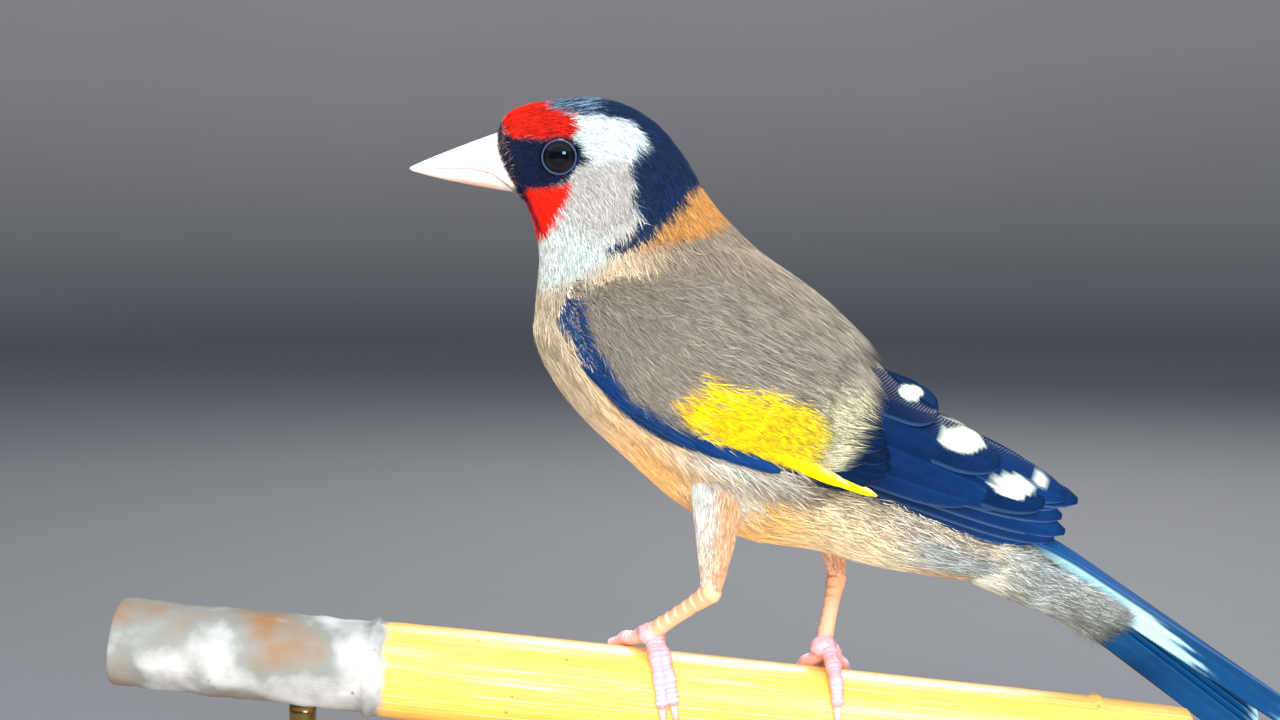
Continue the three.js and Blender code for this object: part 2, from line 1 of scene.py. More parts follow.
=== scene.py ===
import math
import bpy
import numpy as np
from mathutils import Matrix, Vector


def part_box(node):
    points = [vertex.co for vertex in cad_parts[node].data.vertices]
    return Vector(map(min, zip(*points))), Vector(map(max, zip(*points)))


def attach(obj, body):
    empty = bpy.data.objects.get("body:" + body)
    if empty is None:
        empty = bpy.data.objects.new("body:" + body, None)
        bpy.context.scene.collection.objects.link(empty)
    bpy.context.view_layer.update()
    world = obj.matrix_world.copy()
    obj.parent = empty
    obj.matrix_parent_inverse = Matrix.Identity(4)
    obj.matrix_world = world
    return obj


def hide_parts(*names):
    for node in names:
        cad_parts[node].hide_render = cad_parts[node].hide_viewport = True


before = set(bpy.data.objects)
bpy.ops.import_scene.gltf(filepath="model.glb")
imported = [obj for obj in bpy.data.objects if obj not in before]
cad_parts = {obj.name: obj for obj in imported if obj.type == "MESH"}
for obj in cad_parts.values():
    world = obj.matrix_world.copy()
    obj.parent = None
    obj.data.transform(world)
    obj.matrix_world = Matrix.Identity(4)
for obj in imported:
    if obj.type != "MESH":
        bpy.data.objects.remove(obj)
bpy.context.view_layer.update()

# Shapes are worked out in millimetres from the middle of the breast, x to the tail, y to the bird's right, z up.
home = np.array([-4.7, 0.0, 64.0])
mm = 0.001
rng = np.random.default_rng(20)
scene = bpy.context.scene
density = 1.0


# Numbers

def mix(a, b, t):
    return a + (b - a) * t


def smooth(x, a, b):
    t = np.clip((x - a) / (b - a), 0, 1)
    return t * t * (3 - 2 * t)


def spline(values, t):
    # Catmull-Rom through the values, which may be numbers or rows of numbers
    values = np.asarray(values, float)
    t = np.asarray(t, float)
    i = np.clip(np.floor(t).astype(int), 0, len(values) - 2)
    u = t - i
    if values.ndim > 1:
        u = u[..., None]
    ends = [2 * values[:1] - values[1:2], values, 2 * values[-1:] - values[-2:-1]]
    padded = np.concatenate(ends)
    a, b, c, d = (padded[i + n] for n in range(4))
    return b + 0.5 * u * (c - a + u * (2 * a - 5 * b + 4 * c - d + u * (3 * (b - c) + d - a)))


def fullTurn(count):
    return np.arange(count) * 2 * np.pi / count


def unit(v):
    return v / np.maximum(np.linalg.norm(v, axis=-1, keepdims=True), 1e-9)


def paint(red, green, blue):
    # a screen colour of 0 to 255 as linear light
    c = np.array([red, green, blue]) / 255
    return np.where(c <= 0.04045, c / 12.92, ((c + 0.055) / 1.055) ** 2.4)


def blend(colours, other, mask):
    return colours + (other - colours) * mask[..., None]


def stacked(*values):
    # values of unlike shapes side by side, such as x, y and z
    return np.stack(np.broadcast_arrays(*values), -1)


# Meshes. A part is a dictionary of points, quads, tris, and a colour and uv for each point.

def gridRows(grid, ends=True):
    # the places of a grid one after another, then the middles of its first and last ring
    rows = grid.reshape(-1, grid.shape[-1])
    return np.concatenate([rows, grid[:1].mean(1), grid[-1:].mean(1)]) if ends else rows


def tubePart(rings, colour=(1, 1, 1), uv=None, loop=False):
    # a closed tube over rings of equal count, with a point in the middle of each end, or with its ends joined
    count, sides = rings.shape[:2]
    colour = np.broadcast_to(np.asarray(colour, float), rings.shape)
    if uv is None:
        v, u = np.meshgrid(np.linspace(0, 1, count), np.arange(sides) / sides, indexing="ij")
        uv = np.stack([u, v], -1)
    ring = np.arange(count if loop else count - 1)[:, None] * sides
    after = (ring + sides) % (count * sides)
    k = np.arange(sides)
    n = (k + 1) % sides
    quads = np.stack([ring + k, ring + n, after + n, after + k], -1).reshape(-1, 4)
    first, last, end = count * sides, count * sides + 1, (count - 1) * sides
    caps = [np.stack([n, k, np.full(sides, first)], -1), np.stack([end + k, end + n, np.full(sides, last)], -1)]
    return {"points": gridRows(rings, not loop), "quads": quads,
            "tris": np.zeros((0, 3), int) if loop else np.concatenate(caps),
            "colour": gridRows(colour, not loop), "uv": gridRows(uv, not loop)}


def slabPart(outer, inner, outerTone, innerTone, uv):
    # a closed sheet: each ring runs along the outer side and back along the inner side
    pairs = [(outer, inner), (outerTone, innerTone), (uv, uv)]
    return tubePart(*(np.concatenate([there, back[:, ::-1]], 1) for there, back in pairs))


def facingOut(part):
    # turns every face over if the volume that they close is negative
    p = part["points"] - part["points"].mean(0)
    faces = [part["tris"], part["quads"][:, [0, 1, 2]], part["quads"][:, [0, 2, 3]]]
    volume = sum(np.sum(p[f[:, 0]] * np.cross(p[f[:, 1]], p[f[:, 2]])) for f in faces if len(f))
    if volume < 0:
        part["tris"] = part["tris"][:, ::-1]
        part["quads"] = part["quads"][:, ::-1]
    return part


def makePiece(name, parts, material, nodes=(), bakeMap=False):
    parts = [facingOut(part) for part in parts]
    shift = np.cumsum([0] + [len(part["points"]) for part in parts])
    points, colours, uv = (np.concatenate([part[key] for part in parts]) for key in ("points", "colour", "uv"))
    quads, tris = (np.concatenate([part[key] + s for part, s in zip(parts, shift)]).astype(np.int32)
                   for key in ("quads", "tris"))
    mesh = bpy.data.meshes.new(name)
    corners = np.concatenate([quads.ravel(), tris.ravel()])
    starts = np.concatenate([np.arange(len(quads)) * 4, len(quads) * 4 + np.arange(len(tris)) * 3])
    mesh.vertices.add(len(points))
    mesh.vertices.foreach_set("co", ((points + home) * mm).astype(np.float32).ravel())
    mesh.loops.add(len(corners))
    mesh.loops.foreach_set("vertex_index", corners)
    mesh.polygons.add(len(starts))
    mesh.polygons.foreach_set("loop_start", starts.astype(np.int32))
    mesh.polygons.foreach_set("use_smooth", np.ones(len(starts), bool))
    mesh.update(calc_edges=True)
    layer = mesh.uv_layers.new(name="OFBake" if bakeMap else "vane")
    layer.data.foreach_set("uv", uv[corners].astype(np.float32).ravel())
    tint = mesh.color_attributes.new("plumage", "FLOAT_COLOR", "POINT")
    rgba = np.concatenate([colours, np.ones((len(points), 1))], 1)
    tint.data.foreach_set("color", rgba.astype(np.float32).ravel())
    mesh.materials.append(material)
    made = bpy.data.objects.new(name, mesh)
    scene.collection.objects.link(made)
    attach(made, "root")
    if nodes:
        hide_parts(*nodes)
    print("piece", name, len(quads) * 2 + len(tris), "triangles")
    return made


# Materials

def addNode(tree, kind, settings=None, inputs=None):
    made = tree.nodes.new(kind)
    for key, value in (settings or {}).items():
        setattr(made, key, value)
    for key, value in (inputs or {}).items():
        if isinstance(value, bpy.types.NodeSocket):
            tree.links.new(value, made.inputs[key])
        else:
            made.inputs[key].default_value = value
    return made


def newGroup(name, inputs, outputs):
    group = bpy.data.node_groups.new(name, "ShaderNodeTree")
    for label, kind, start in inputs:
        socket = group.interface.new_socket(label, in_out="INPUT", socket_type=kind)
        if start is not None:
            socket.default_value = start
    for label, kind in outputs:
        group.interface.new_socket(label, in_out="OUTPUT", socket_type=kind)
    return group, group.nodes.new("NodeGroupInput").outputs, group.nodes.new("NodeGroupOutput").inputs


def math2(tree, operation, a, b=0.0):
    return addNode(tree, "ShaderNodeMath", {"operation": operation}, {0: a, 1: b}).outputs[0]


def noise(tree, vector, scale, detail, distortion=0.0):
    inputs = {"Vector": vector, "Scale": scale, "Detail": detail, "Distortion": distortion}
    return addNode(tree, "ShaderNodeTexNoise", None, inputs).outputs["Fac"]


def stretched(tree, vector, scale):
    return addNode(tree, "ShaderNodeMapping", None, {"Vector": vector, "Scale": scale}).outputs[0]


def remap(tree, value, fromLow, fromHigh, toLow=0.0, toHigh=1.0):
    inputs = {0: value, 1: fromLow, 2: fromHigh, 3: toLow, 4: toHigh}
    return addNode(tree, "ShaderNodeMapRange", None, inputs).outputs[0]


def mixColour(tree, share, first, second):
    return addNode(tree, "ShaderNodeMix", {"data_type": "RGBA"}, {0: share, 6: first, 7: second}).outputs[2]


def rampColour(tree, factor, stops):
    # a colour ramp through stops of position and colour, in rising order
    ramp = addNode(tree, "ShaderNodeValToRGB", None, {"Fac": factor})
    elements = ramp.color_ramp.elements
    for position, _ in stops[1:-1]:
        elements.new(position)
    for element, (position, colour) in zip(elements, stops):
        element.position = position
        element.color = (*colour, 1)
    return ramp.outputs[0]


def toneGroup():
    # a colour made unevenly lighter and darker by noise
    group, given, out = newGroup(
        "unevenTone",
        [("Colour", "NodeSocketColor", None), ("Vector", "NodeSocketVector", None),
         ("Scale", "NodeSocketFloat", 400.0), ("Amount", "NodeSocketFloat", 0.3)],
        [("Colour", "NodeSocketColor"), ("Value", "NodeSocketFloat")],
    )
    fine = noise(group, given["Vector"], given["Scale"], 3.0)
    swing = math2(group, "MULTIPLY", math2(group, "SUBTRACT", fine, 0.5), given["Amount"])
    toned = addNode(group, "ShaderNodeHueSaturation", None,
                    {"Color": given["Colour"], "Value": math2(group, "ADD", swing, 1.0)})
    group.links.new(toned.outputs[0], out["Colour"])
    group.links.new(fine, out["Value"])
    return group


shaftAt = 0.4  # where the shaft lies across a vane, as a share of its width


def barbGroup():
    # fine slanting lines on a vane: the sine of the place along it less a share of the distance from its shaft
    group, given, out = newGroup(
        "barbLines",
        [("UV", "NodeSocketVector", None), ("Count", "NodeSocketFloat", 150.0)],
        [("Line", "NodeSocketFloat")],
    )
    place = addNode(group, "ShaderNodeSeparateXYZ", None, {0: given["UV"]}).outputs
    aside = math2(group, "ABSOLUTE", math2(group, "SUBTRACT", place[0], shaftAt))
    slant = math2(group, "SUBTRACT", place[1], math2(group, "MULTIPLY", aside, 0.16))
    wave = math2(group, "SINE", math2(group, "MULTIPLY", slant, given["Count"]))
    group.links.new(wave, out["Line"])
    return group


tones = toneGroup()
barbLines = barbGroup()


def useGroup(tree, group, inputs):
    return addNode(tree, "ShaderNodeGroup", {"node_tree": group}, inputs).outputs


def newMaterial(name, settings):
    material = bpy.data.materials.new(name)
    material.use_nodes = True
    tree = material.node_tree
    shader = tree.nodes["Principled BSDF"]
    for key, value in settings.items():
        shader.inputs[key].default_value = value
    return material, tree, shader


def objectPlace(tree):
    return addNode(tree, "ShaderNodeTexCoord").outputs["Object"]


def ownColour(tree):
    return addNode(tree, "ShaderNodeVertexColor", {"layer_name": "plumage"}).outputs[0]


def ownUv(tree):
    return addNode(tree, "ShaderNodeUVMap", {"uv_map": "vane"}).outputs[0]


def toneColour(tree, shader, scale, amount, place=None, colour=None):
    # the piece's own colour, or the one given, goes to the shader through uneven tones
    inputs = {"Colour": ownColour(tree) if colour is None else colour, "Scale": scale, "Amount": amount,
              "Vector": objectPlace(tree) if place is None else place}
    toned = useGroup(tree, tones, inputs)
    tree.links.new(toned["Colour"], shader.inputs["Base Color"])
    return toned


def linkBump(tree, shader, height, strength, distance):
    bump = addNode(tree, "ShaderNodeBump", None, {"Height": height, "Strength": strength, "Distance": distance})
    tree.links.new(bump.outputs[0], shader.inputs["Normal"])


def hornMaterial(name, roughness, subsurface, stretch):
    # horn and bare skin: the piece's own colour with fine streaks along it
    material, tree, shader = newMaterial(name, {
        "Roughness": roughness, "Specular IOR Level": 0.5, "Coat Weight": 0.15, "Coat Roughness": 0.25,
        "Subsurface Weight": subsurface, "Subsurface Radius": (1.0, 0.45, 0.3), "Subsurface Scale": 0.0012,
    })
    toned = toneColour(tree, shader, 900.0, 0.22, stretched(tree, objectPlace(tree), stretch))
    linkBump(tree, shader, toned["Value"], 0.3, 0.00008)
    return material


billHorn = hornMaterial("billHorn", 0.32, 0.25, (0.35, 1.0, 1.0))
clawHorn = hornMaterial("clawHorn", 0.35, 0.3, (1.0, 1.0, 0.3))
legSkin = hornMaterial("legSkin", 0.5, 0.2, (1.0, 1.0, 1.0))

softFeather, softTree, softShader = newMaterial("softFeather", {
    "Roughness": 0.8, "Specular IOR Level": 0.08, "Sheen Weight": 0.03, "Sheen Roughness": 0.5,
})
toneColour(softTree, softShader, 900.0, 0.35)

flightFeather, flightTree, flightShader = newMaterial("flightFeather", {
    "Roughness": 0.42, "Specular IOR Level": 0.15, "Sheen Weight": 0.02, "Sheen Roughness": 0.35,
    "Sheen Tint": (0.55, 0.75, 1.0, 1.0),
})
barbLine = useGroup(flightTree, barbLines, {"UV": ownUv(flightTree), "Count": 420.0})["Line"]
toned = toneColour(flightTree, flightShader, 500.0, 0.35)
lineValue = math2(flightTree, "ADD", math2(flightTree, "MULTIPLY", barbLine, 0.12), 1.0)
lined = addNode(flightTree, "ShaderNodeHueSaturation", None, {"Color": toned["Colour"], "Value": lineValue})
flightTree.links.new(lined.outputs[0], flightShader.inputs["Base Color"])
linkBump(flightTree, flightShader, barbLine, 0.25, 0.00006)


# Body. The sections are those of the solids: middle, lean of the upright, depth, width, fullness of the upper half.

bodySections = np.array([
    [-15.1, 22.9, -18.5, 7.9, 8.2, 0],
    [-14.3, 23.4, -10.2, 11.5, 11.6, -0.04],
    [-11.0, 23.3, 13.1, 15.0, 14.6, -0.06],
    [-7.7, 22.1, 27.9, 19.0, 16.4, -0.08],
    [-5.1, 19.6, 39.5, 21.8, 17.2, -0.08],
    [-3.3, 15.8, 50.5, 23.6, 18.2, -0.04],
    [-2.1, 12.0, 57.1, 25.3, 20.4, 0],
    [-0.5, 8.6, 59.8, 27.8, 23.6, 0.02],
    [1.9, 5.4, 61.5, 29.6, 26.6, 0.03],
    [5.8, 1.2, 59.3, 30.7, 28.8, 0.03],
    [10.9, -3.5, 56.5, 30.4, 29.4, 0.03],
    [15.9, -8.1, 50.1, 29.2, 28, 0.03],
    [21.4, -12.0, 43.9, 26.1, 25, 0.02],
    [27.2, -14.6, 41.2, 21.2, 21, 0],
    [32.4, -17.8, 39, 17.4, 17.2, 0],
    [37.8, -20.6, 37.5, 13.2, 14.2, 0],
    [43.3, -23.2, 36, 9.2, 12.2, 0],
    [48.6, -26.2, 35.6, 6.2, 10.2, 0],
])
lastSection = len(bodySections) - 1
eye = {"x": -9.1, "z": 23.4, "radius": 2.3, "seat": 1.45, "ring": 1.9, "lid": 0.12, "lidRise": 1.36}


def sweep(x):
    # the body bends away to the bird's right behind the belly
    return 0.0025 * np.maximum(0, x - 8) ** 2


def bodyOutline(t, turn):
    # x = x0 + up sin(lean), y = out + sweep, z = z0 + up cos(lean); up and out trace an ellipse, fuller on one side
    s = spline(bodySections, t)
    lean = np.radians(s[..., 2])
    up = s[..., 3] / 2 * np.cos(turn)
    out = s[..., 4] / 2 * np.sin(turn) * (1 + s[..., 5] * np.cos(turn))
    x = s[..., 0] + up * np.sin(lean)
    return stacked(x, out + sweep(x), s[..., 1] + up * np.cos(lean))


def bodyHalfWidth(x, z):
    # finds the section that passes x and z by halving, then the ellipse's half width there
    low = np.zeros_like(x)
    high = np.full_like(x, lastSection)
    for _ in range(30):
        middle = (low + high) / 2
        s = spline(bodySections, middle)
        lean = np.radians(s[..., 2])
        behind = (x - s[..., 0]) * np.cos(lean) - (z - s[..., 1]) * np.sin(lean) > 0
        low = np.where(behind, middle, low)
        high = np.where(behind, high, middle)
    s = spline(bodySections, low)
    lean = np.radians(s[..., 2])
    up = ((x - s[..., 0]) * np.sin(lean) + (z - s[..., 1]) * np.cos(lean)) / (s[..., 3] / 2)
    return s[..., 4] / 2 * np.sqrt(np.maximum(0, 1 - up * up)) * (1 + s[..., 5] * up)


def makeSurface(points, closed, inner):
    # a grid of places with outward normals; rows follow the lie of the feathers, inner is a place inside
    alongStep = np.gradient(points, axis=0)
    if closed:
        acrossStep = (np.roll(points, -1, 1) - np.roll(points, 1, 1)) / 2
    else:
        acrossStep = np.gradient(points, axis=1)
    normal = unit(np.cross(alongStep, acrossStep))
    if np.mean(np.sum(normal * (points - inner), -1)) < 0:
        normal = -normal
    speed = np.stack([np.linalg.norm(alongStep, axis=-1), np.linalg.norm(acrossStep, axis=-1)], -1)
    return {"grid": np.concatenate([points, normal], -1), "speed": np.maximum(speed, 0.02), "closed": closed}


def sample(surface, a, b):
    # place and normal between the grid's points; past its first or last row the surface goes straight on
    grid = surface["grid"]
    rows, columns = grid.shape[:2]
    i = np.clip(np.floor(a).astype(int), 0, rows - 2)
    u = (a - i)[..., None]
    if surface["closed"]:
        b = np.mod(b, columns)
        j = np.minimum(b.astype(int), columns - 1)
        n = (j + 1) % columns
    else:
        j = np.clip(np.floor(b).astype(int), 0, columns - 2)
        n = j + 1
    v = (b - j)[..., None]
    both = mix(mix(grid[i, j], grid[i, n], v), mix(grid[i + 1, j], grid[i + 1, n], v), u)
    return both[..., :3], unit(both[..., 3:])


def speedAt(surface, a, b):
    speed = surface["speed"]
    i = np.clip(np.round(a).astype(int), 0, speed.shape[0] - 1)
    j = np.round(b).astype(int)
    j = j % speed.shape[1] if surface["closed"] else np.clip(j, 0, speed.shape[1] - 1)
    return speed[i, j, 0], speed[i, j, 1]


def scatter(surface, count, share):
    # roots spread by area times share, which is worked out at each grid point
    weight = surface["speed"][..., 0] * surface["speed"][..., 1] * share
    weight = weight[:-1] if surface["closed"] else weight[:-1, :-1]
    heap = np.cumsum(weight.ravel())
    pick = np.searchsorted(heap, (np.arange(count) + rng.random(count)) / count * heap[-1])
    pick = np.minimum(pick, weight.size - 1)
    return pick // weight.shape[1] + rng.random(count), pick % weight.shape[1] + rng.random(count)


# Feathers of the coat. Each is a closed taper on a surface: a barb has three sides, a plate is broad and flat.

hairForm = {"steps": [0.0, 1.0], "widths": [1.0], "section": [(-0.5, 0.0), (0.5, 0.0), (0.0, 0.24)]}
barbForm = {"steps": [0.0, 0.5, 1.0], "widths": [0.75, 1.0], "section": [(-0.5, 0.0), (0.5, 0.0), (0.0, 0.22)]}
plateForm = {"steps": [0.0, 0.35, 0.7, 0.92, 1.0], "widths": [0.4, 0.9, 1.0, 0.62],
             "section": [(-0.5, 0.0), (0.0, 0.09), (0.5, 0.0), (0.0, -0.04)]}
bakePatch = 0.003  # the share of the bake map's width that a feather takes up


def growFeathers(surface, a, b, size, colours, form, shade=(0.88, 1.02)):
    steps = np.array(form["steps"])
    section = np.array(form["section"])
    widths = np.array(form["widths"])
    rings, sides = len(widths), len(section)
    speedA, speedB = speedAt(surface, a, b)
    reach = size["length"][:, None] * steps
    yaw = size["yaw"][:, None] + size["curl"][:, None] * steps
    rows = a[:, None] + reach * np.cos(yaw) / speedA[:, None]
    columns = b[:, None] + reach * np.sin(yaw) / speedB[:, None]
    place, normal = sample(surface, rows, columns)
    height = mix(size["low"][:, None], size["high"][:, None], steps ** 1.3)
    centre = place + normal * height[..., None]
    forward = unit(centre[:, 1:] - centre[:, :-1])
    side = unit(np.cross(normal[:, :-1], forward))
    rise = np.cross(forward, side)
    wide = size["width"][:, None] * widths
    ring = centre[:, :rings, None] + wide[..., None, None] * (
        side[:, :rings, None] * section[:, 0, None] + rise[:, :rings, None] * section[:, 1, None]
    )
    count = len(a)
    points = np.concatenate([ring.reshape(count, -1, 3), centre[:, -1:]], 1)
    each = rings * sides + 1
    k = np.arange(sides)
    n = (k + 1) % sides
    faces = [np.stack([r * sides + k, r * sides + n, (r + 1) * sides + n], -1) for r in range(rings - 1)]
    faces += [np.stack([r * sides + k, (r + 1) * sides + n, (r + 1) * sides + k], -1) for r in range(rings - 1)]
    end = (rings - 1) * sides
    faces.append(np.stack([end + k, end + n, np.full(sides, each - 1)], -1))
    faces.append(np.stack([np.zeros(sides - 2, int), k[2:], k[1:-1]], -1))
    template = np.concatenate(faces)
    tris = (template[None] + (np.arange(count) * each)[:, None, None]).reshape(-1, 3)
    stage = np.concatenate([np.repeat(steps[:rings], sides), [1.0]])
    # painted shade: each feather is darker at its root, where the others shade it, and full at its tip
    tone = mix(shade[0], shade[1], stage)
    tint = np.clip(colours[:, None] * tone[:, None], 0, 1)
    root = np.stack([b, a], -1) / surface["grid"].shape[1::-1]
    acrossPatch = np.concatenate([np.tile(section[:, 0], rings), [0.0]])
    patch = np.stack([acrossPatch, stage], -1) * bakePatch
    uv = np.clip(root[:, None] + patch[None], 0, 1)
    return {"points": points.reshape(-1, 3), "quads": np.zeros((0, 4), int), "tris": tris,
            "colour": tint.reshape(-1, 3), "uv": uv.reshape(-1, 2)}


def featherSizes(count, length, width, yaw, curl, high, low=-0.1):
    # a number of each kind for every feather; high and low are its tip and root over the surface
    sizes = {"length": length, "width": width, "yaw": yaw, "curl": curl, "high": high, "low": low}
    return {key: np.broadcast_to(value, count) for key, value in sizes.items()}


def cluster(surface, a, b, each, spread, fan):
    # splits every root into a small fan: offsets across the lie and the turn that goes with each
    aside = np.tile(np.linspace(-1, 1, each), len(a)) + rng.normal(0, 0.2, len(a) * each)
    a, b = np.repeat(a, each), np.repeat(b, each)
    speedA, speedB = speedAt(surface, a, b)
    b = b + aside * spread / speedB
    a = a + rng.normal(0, 0.12, len(a)) / speedA
    return a, b, aside * fan


def growPiece(name, surface, a, b, size, colours, form=barbForm):
    makePiece(name, [growFeathers(surface, a, b, size, colours, form)], softFeather, bakeMap=True)


# Markings. Each patch is a closed outline in x and z on the bird's side, with a soft edge.

def patchMask(x, z, outline, soft):
    # distance to the nearest edge, positive inside, where a level line crosses an odd count of edges
    best = np.full(x.shape, 1e9)
    inside = np.zeros(x.shape, bool)
    for (ax, az), (bx, bz) in zip(outline, outline[1:] + outline[:1]):
        ex, ez = bx - ax, bz - az
        t = np.clip(((x - ax) * ex + (z - az) * ez) / (ex * ex + ez * ez), 0, 1)
        best = np.minimum(best, np.hypot(x - ax - t * ex, z - az - t * ez))
        level = np.where(abs(ez) < 1e-6, 1e-6, ez)
        inside ^= ((az > z) != (bz > z)) & (x < ax + (z - az) / level * ex)
    return smooth(np.where(inside, best, -best), -soft, soft)


tint = {
    "mantle": paint(162, 153, 140), "mantleWarm": paint(176, 152, 120), "breast": paint(192, 176, 152),
    "breastLow": paint(246, 218, 180), "belly": paint(255, 206, 136), "flank": paint(255, 202, 100),
    "flankPale": paint(252, 244, 218), "skyWhite": paint(206, 224, 232),
    "undertail": paint(186, 196, 194), "undertailGrey": paint(142, 150, 156), "rim": paint(232, 166, 88),
    "rump": paint(214, 200, 178), "white": paint(226, 238, 240), "cheek": paint(194, 190, 186),
    "throat": paint(208, 220, 218), "nape": paint(206, 148, 84), "crown": paint(16, 42, 78),
    "crownSpeckSheen": paint(140, 170, 192), "red": paint(230, 34, 12), "redDark": paint(140, 14, 8),
    "lore": paint(8, 24, 54), "bristle": paint(138, 116, 116), "wingNavy": paint(4, 24, 54),
    "bandBlueSheen": paint(22, 64, 118), "wingEdge": paint(66, 96, 134), "yellow": paint(255, 222, 6),
    "yellowDeep": paint(248, 186, 10), "yellowPale": paint(252, 240, 170), "cream": paint(212, 206, 172),
    # the tail's navy is a bright blue: painted sky reflection on its dark feathers
    "spot": paint(204, 214, 190), "tailWhite": paint(182, 232, 248), "tailNavySkySheen": paint(14, 74, 130),
}
headPatches = [
    {"colour": "throat", "soft": 1.3,
     "outline": [(-14, 17), (-2, 17), (-1.5, 12.6), (-6, 9.2), (-11.5, 7.6), (-15, 11)]},
    {"colour": "cheek", "soft": 1.5, "outline": [(-8, 23), (0.5, 23), (0.3, 15), (-5, 13.5), (-8.5, 16)]},
    {"colour": "white", "soft": 0.7, "outline": [(-7.4, 28.9), (1.5, 28), (1.6, 23.6), (-4.8, 22.6)]},
    {"colour": "nape", "soft": 1.0,
     "outline": [(8.4, 21.5), (5.3, 17.7), (2.5, 15.1), (0.4, 12.2), (5.3, 12.9), (9.0, 14.6), (11.8, 16.6)]},
    {"colour": "crown", "soft": 0.3,
     "outline": [(-11.2, 32), (-11.0, 30.2), (-9.8, 29.2), (-7.6, 28.4), (-5.0, 28.5), (-2.5, 28.1), (-0.2, 27.4),
                 (0.9, 25.9), (1.5, 24.6), (-0.1, 23.3), (-0.8, 22.0), (-0.3, 20.0), (-0.5, 17.9), (0.5, 16.2),
                 (-0.8, 14.3), (-4.2, 12.3), (-3.5, 11.6), (-0.2, 12.7), (2.5, 14.9), (5.3, 17.5), (6.4, 19.2),
                 (9.5, 20.8), (6, 32)]},
    {"colour": "red", "soft": 0.25,
     "outline": [(-16.5, 26.6), (-15.6, 30.5), (-11.3, 31.5), (-9.8, 29.4), (-7.6, 28.7), (-6.8, 27.1), (-7.6, 25.7),
                 (-10.6, 25.5), (-13.5, 25.6), (-15.2, 26.1)]},
    {"colour": "red", "soft": 0.25,
     "outline": [(-13.4, 19.8), (-10.1, 20.0), (-7.9, 20.4), (-7.8, 19.4), (-8.7, 17.1), (-9.8, 15.3), (-11.0, 13.9),
                 (-13.5, 13.8), (-15, 18.3)]},
    {"colour": "lore", "soft": 0.22,
     "outline": [(-17, 26.3), (-15.2, 26.2), (-13.5, 25.7), (-10.6, 25.6), (-7.6, 25.8), (-6.4, 24.7), (-6.3, 23.6),
                 (-5.1, 23.1), (-6.8, 22.4), (-7.9, 21.1), (-8.3, 20.5), (-10.1, 19.9), (-12.9, 19.7), (-13.6, 18.4),
                 (-16, 18.6)]},
    {"colour": "lore", "soft": 0.12,
     "outline": [(-13.9, 19.5), (-12.9, 18.7), (-11.3, 14.4), (-11.6, 14.3), (-13.3, 18.0)]},
]
crownPatch, browPatch = headPatches[4:6]


def bodyColours(place, up):
    # up is the cosine of the turn round the body: 1 on the back, -1 under the belly
    x, y, z = place.T
    x = x + rng.normal(0, 0.16, len(x))
    z = z + rng.normal(0, 0.16, len(x))
    base = blend(tint["breast"], tint["breastLow"], smooth(x, -10, 1))
    base = blend(base, tint["flank"], smooth(x, 4, 16))
    base = blend(base, tint["belly"], smooth(-up, 0.55, 0.85) * smooth(x, -6, 2) * smooth(30 - x, 0, 10))
    base = blend(base, tint["flankPale"], smooth(x, 14, 26) * 0.75)
    wingLow = wingCoordinates(np.stack([x, y, z], -1))[1]
    base = blend(base, tint["skyWhite"], smooth(wingLow, -12.5, -9.0) * smooth(x, 3, 9) * smooth(24 - x, 0, 8) * 0.7)
    base = blend(base, tint["undertail"], smooth(x, 27, 36))
    streak = np.sin(x * 0.9 + z * 0.6) * 0.5 + 0.5
    base = blend(base, tint["undertailGrey"], smooth(x, 33, 40) * smooth(46 - x, 0, 6) * streak * 0.35)
    base = blend(base, tint["rim"], smooth(-up, 0.7, 0.95) * smooth(x, 30, 35) * smooth(43 - x, 0, 4) * 0.6)
    back = blend(tint["mantle"], tint["mantleWarm"], smooth(z, 4, 13) * 0.4)
    # painted light: the back is darker at the front and lighter towards the rear, making up for the light that falls
    # off along it
    back = blend(back * mix(0.68, 0.98, smooth(x, -6, 24))[:, None], tint["rump"], smooth(x, 27, 33))
    edge = -0.2 + 0.55 * smooth(x, -12, 0) * smooth(z, 4, 14)
    base = blend(base, back, smooth(up, edge - 0.3, edge + 0.3) * smooth(x, -14, -4))
    base = blend(base, tint["throat"], smooth(z, 13, 16) * smooth(4 - x, 0, 4))
    for patch in headPatches:
        base = blend(base, tint[patch["colour"]], patchMask(x, z, patch["outline"], patch["soft"]))
    crown = patchMask(x, z, crownPatch["outline"], 0.3) * (z > 27.6) * (x < 0)
    # pale blue specks on the front of the crown: partly its pale speckles, partly painted blue sheen
    base = blend(base, tint["crownSpeckSheen"], crown * (rng.random(len(x)) < 0.4 * smooth(-3 - x, 0, 2)))
    red = patchMask(x, z, browPatch["outline"], 0.2) * (rng.random(len(x)) < 0.28)
    return blend(base, tint["redDark"], red)


# Wings. p runs along the folded wing from its bend, q across it towards the back.

wingAngle = math.radians(24)
wingCosine, wingSine = math.cos(wingAngle), math.sin(wingAngle)
wingBend = {"x": -8.7, "z": 6.9}
shoulderLow = [-1.5, -5.2, -7.6, -8.6, -8.2, -7.2, -6.4]
shoulderHigh = [2.5, 7.6, 10.6, 11.8, 11.4, 10.2, 8.2]
shoulderEnd, shoulderSpans = 33, len(shoulderLow) - 1


def wingOut(p, q):
    # y of the wing's under-surface: an ellipse across the wing that narrows and rounds towards the tip
    middle = mix(mix(9.4, 14.6, smooth(p, -2, 16)), 5.2, smooth(p, 20, 66))
    bulge = mix(15.5, 8.4, smooth(p, 18, 46))
    turn = np.minimum(0.97, np.abs(q + 2) / bulge)
    return middle * np.sqrt(1 - turn * turn)


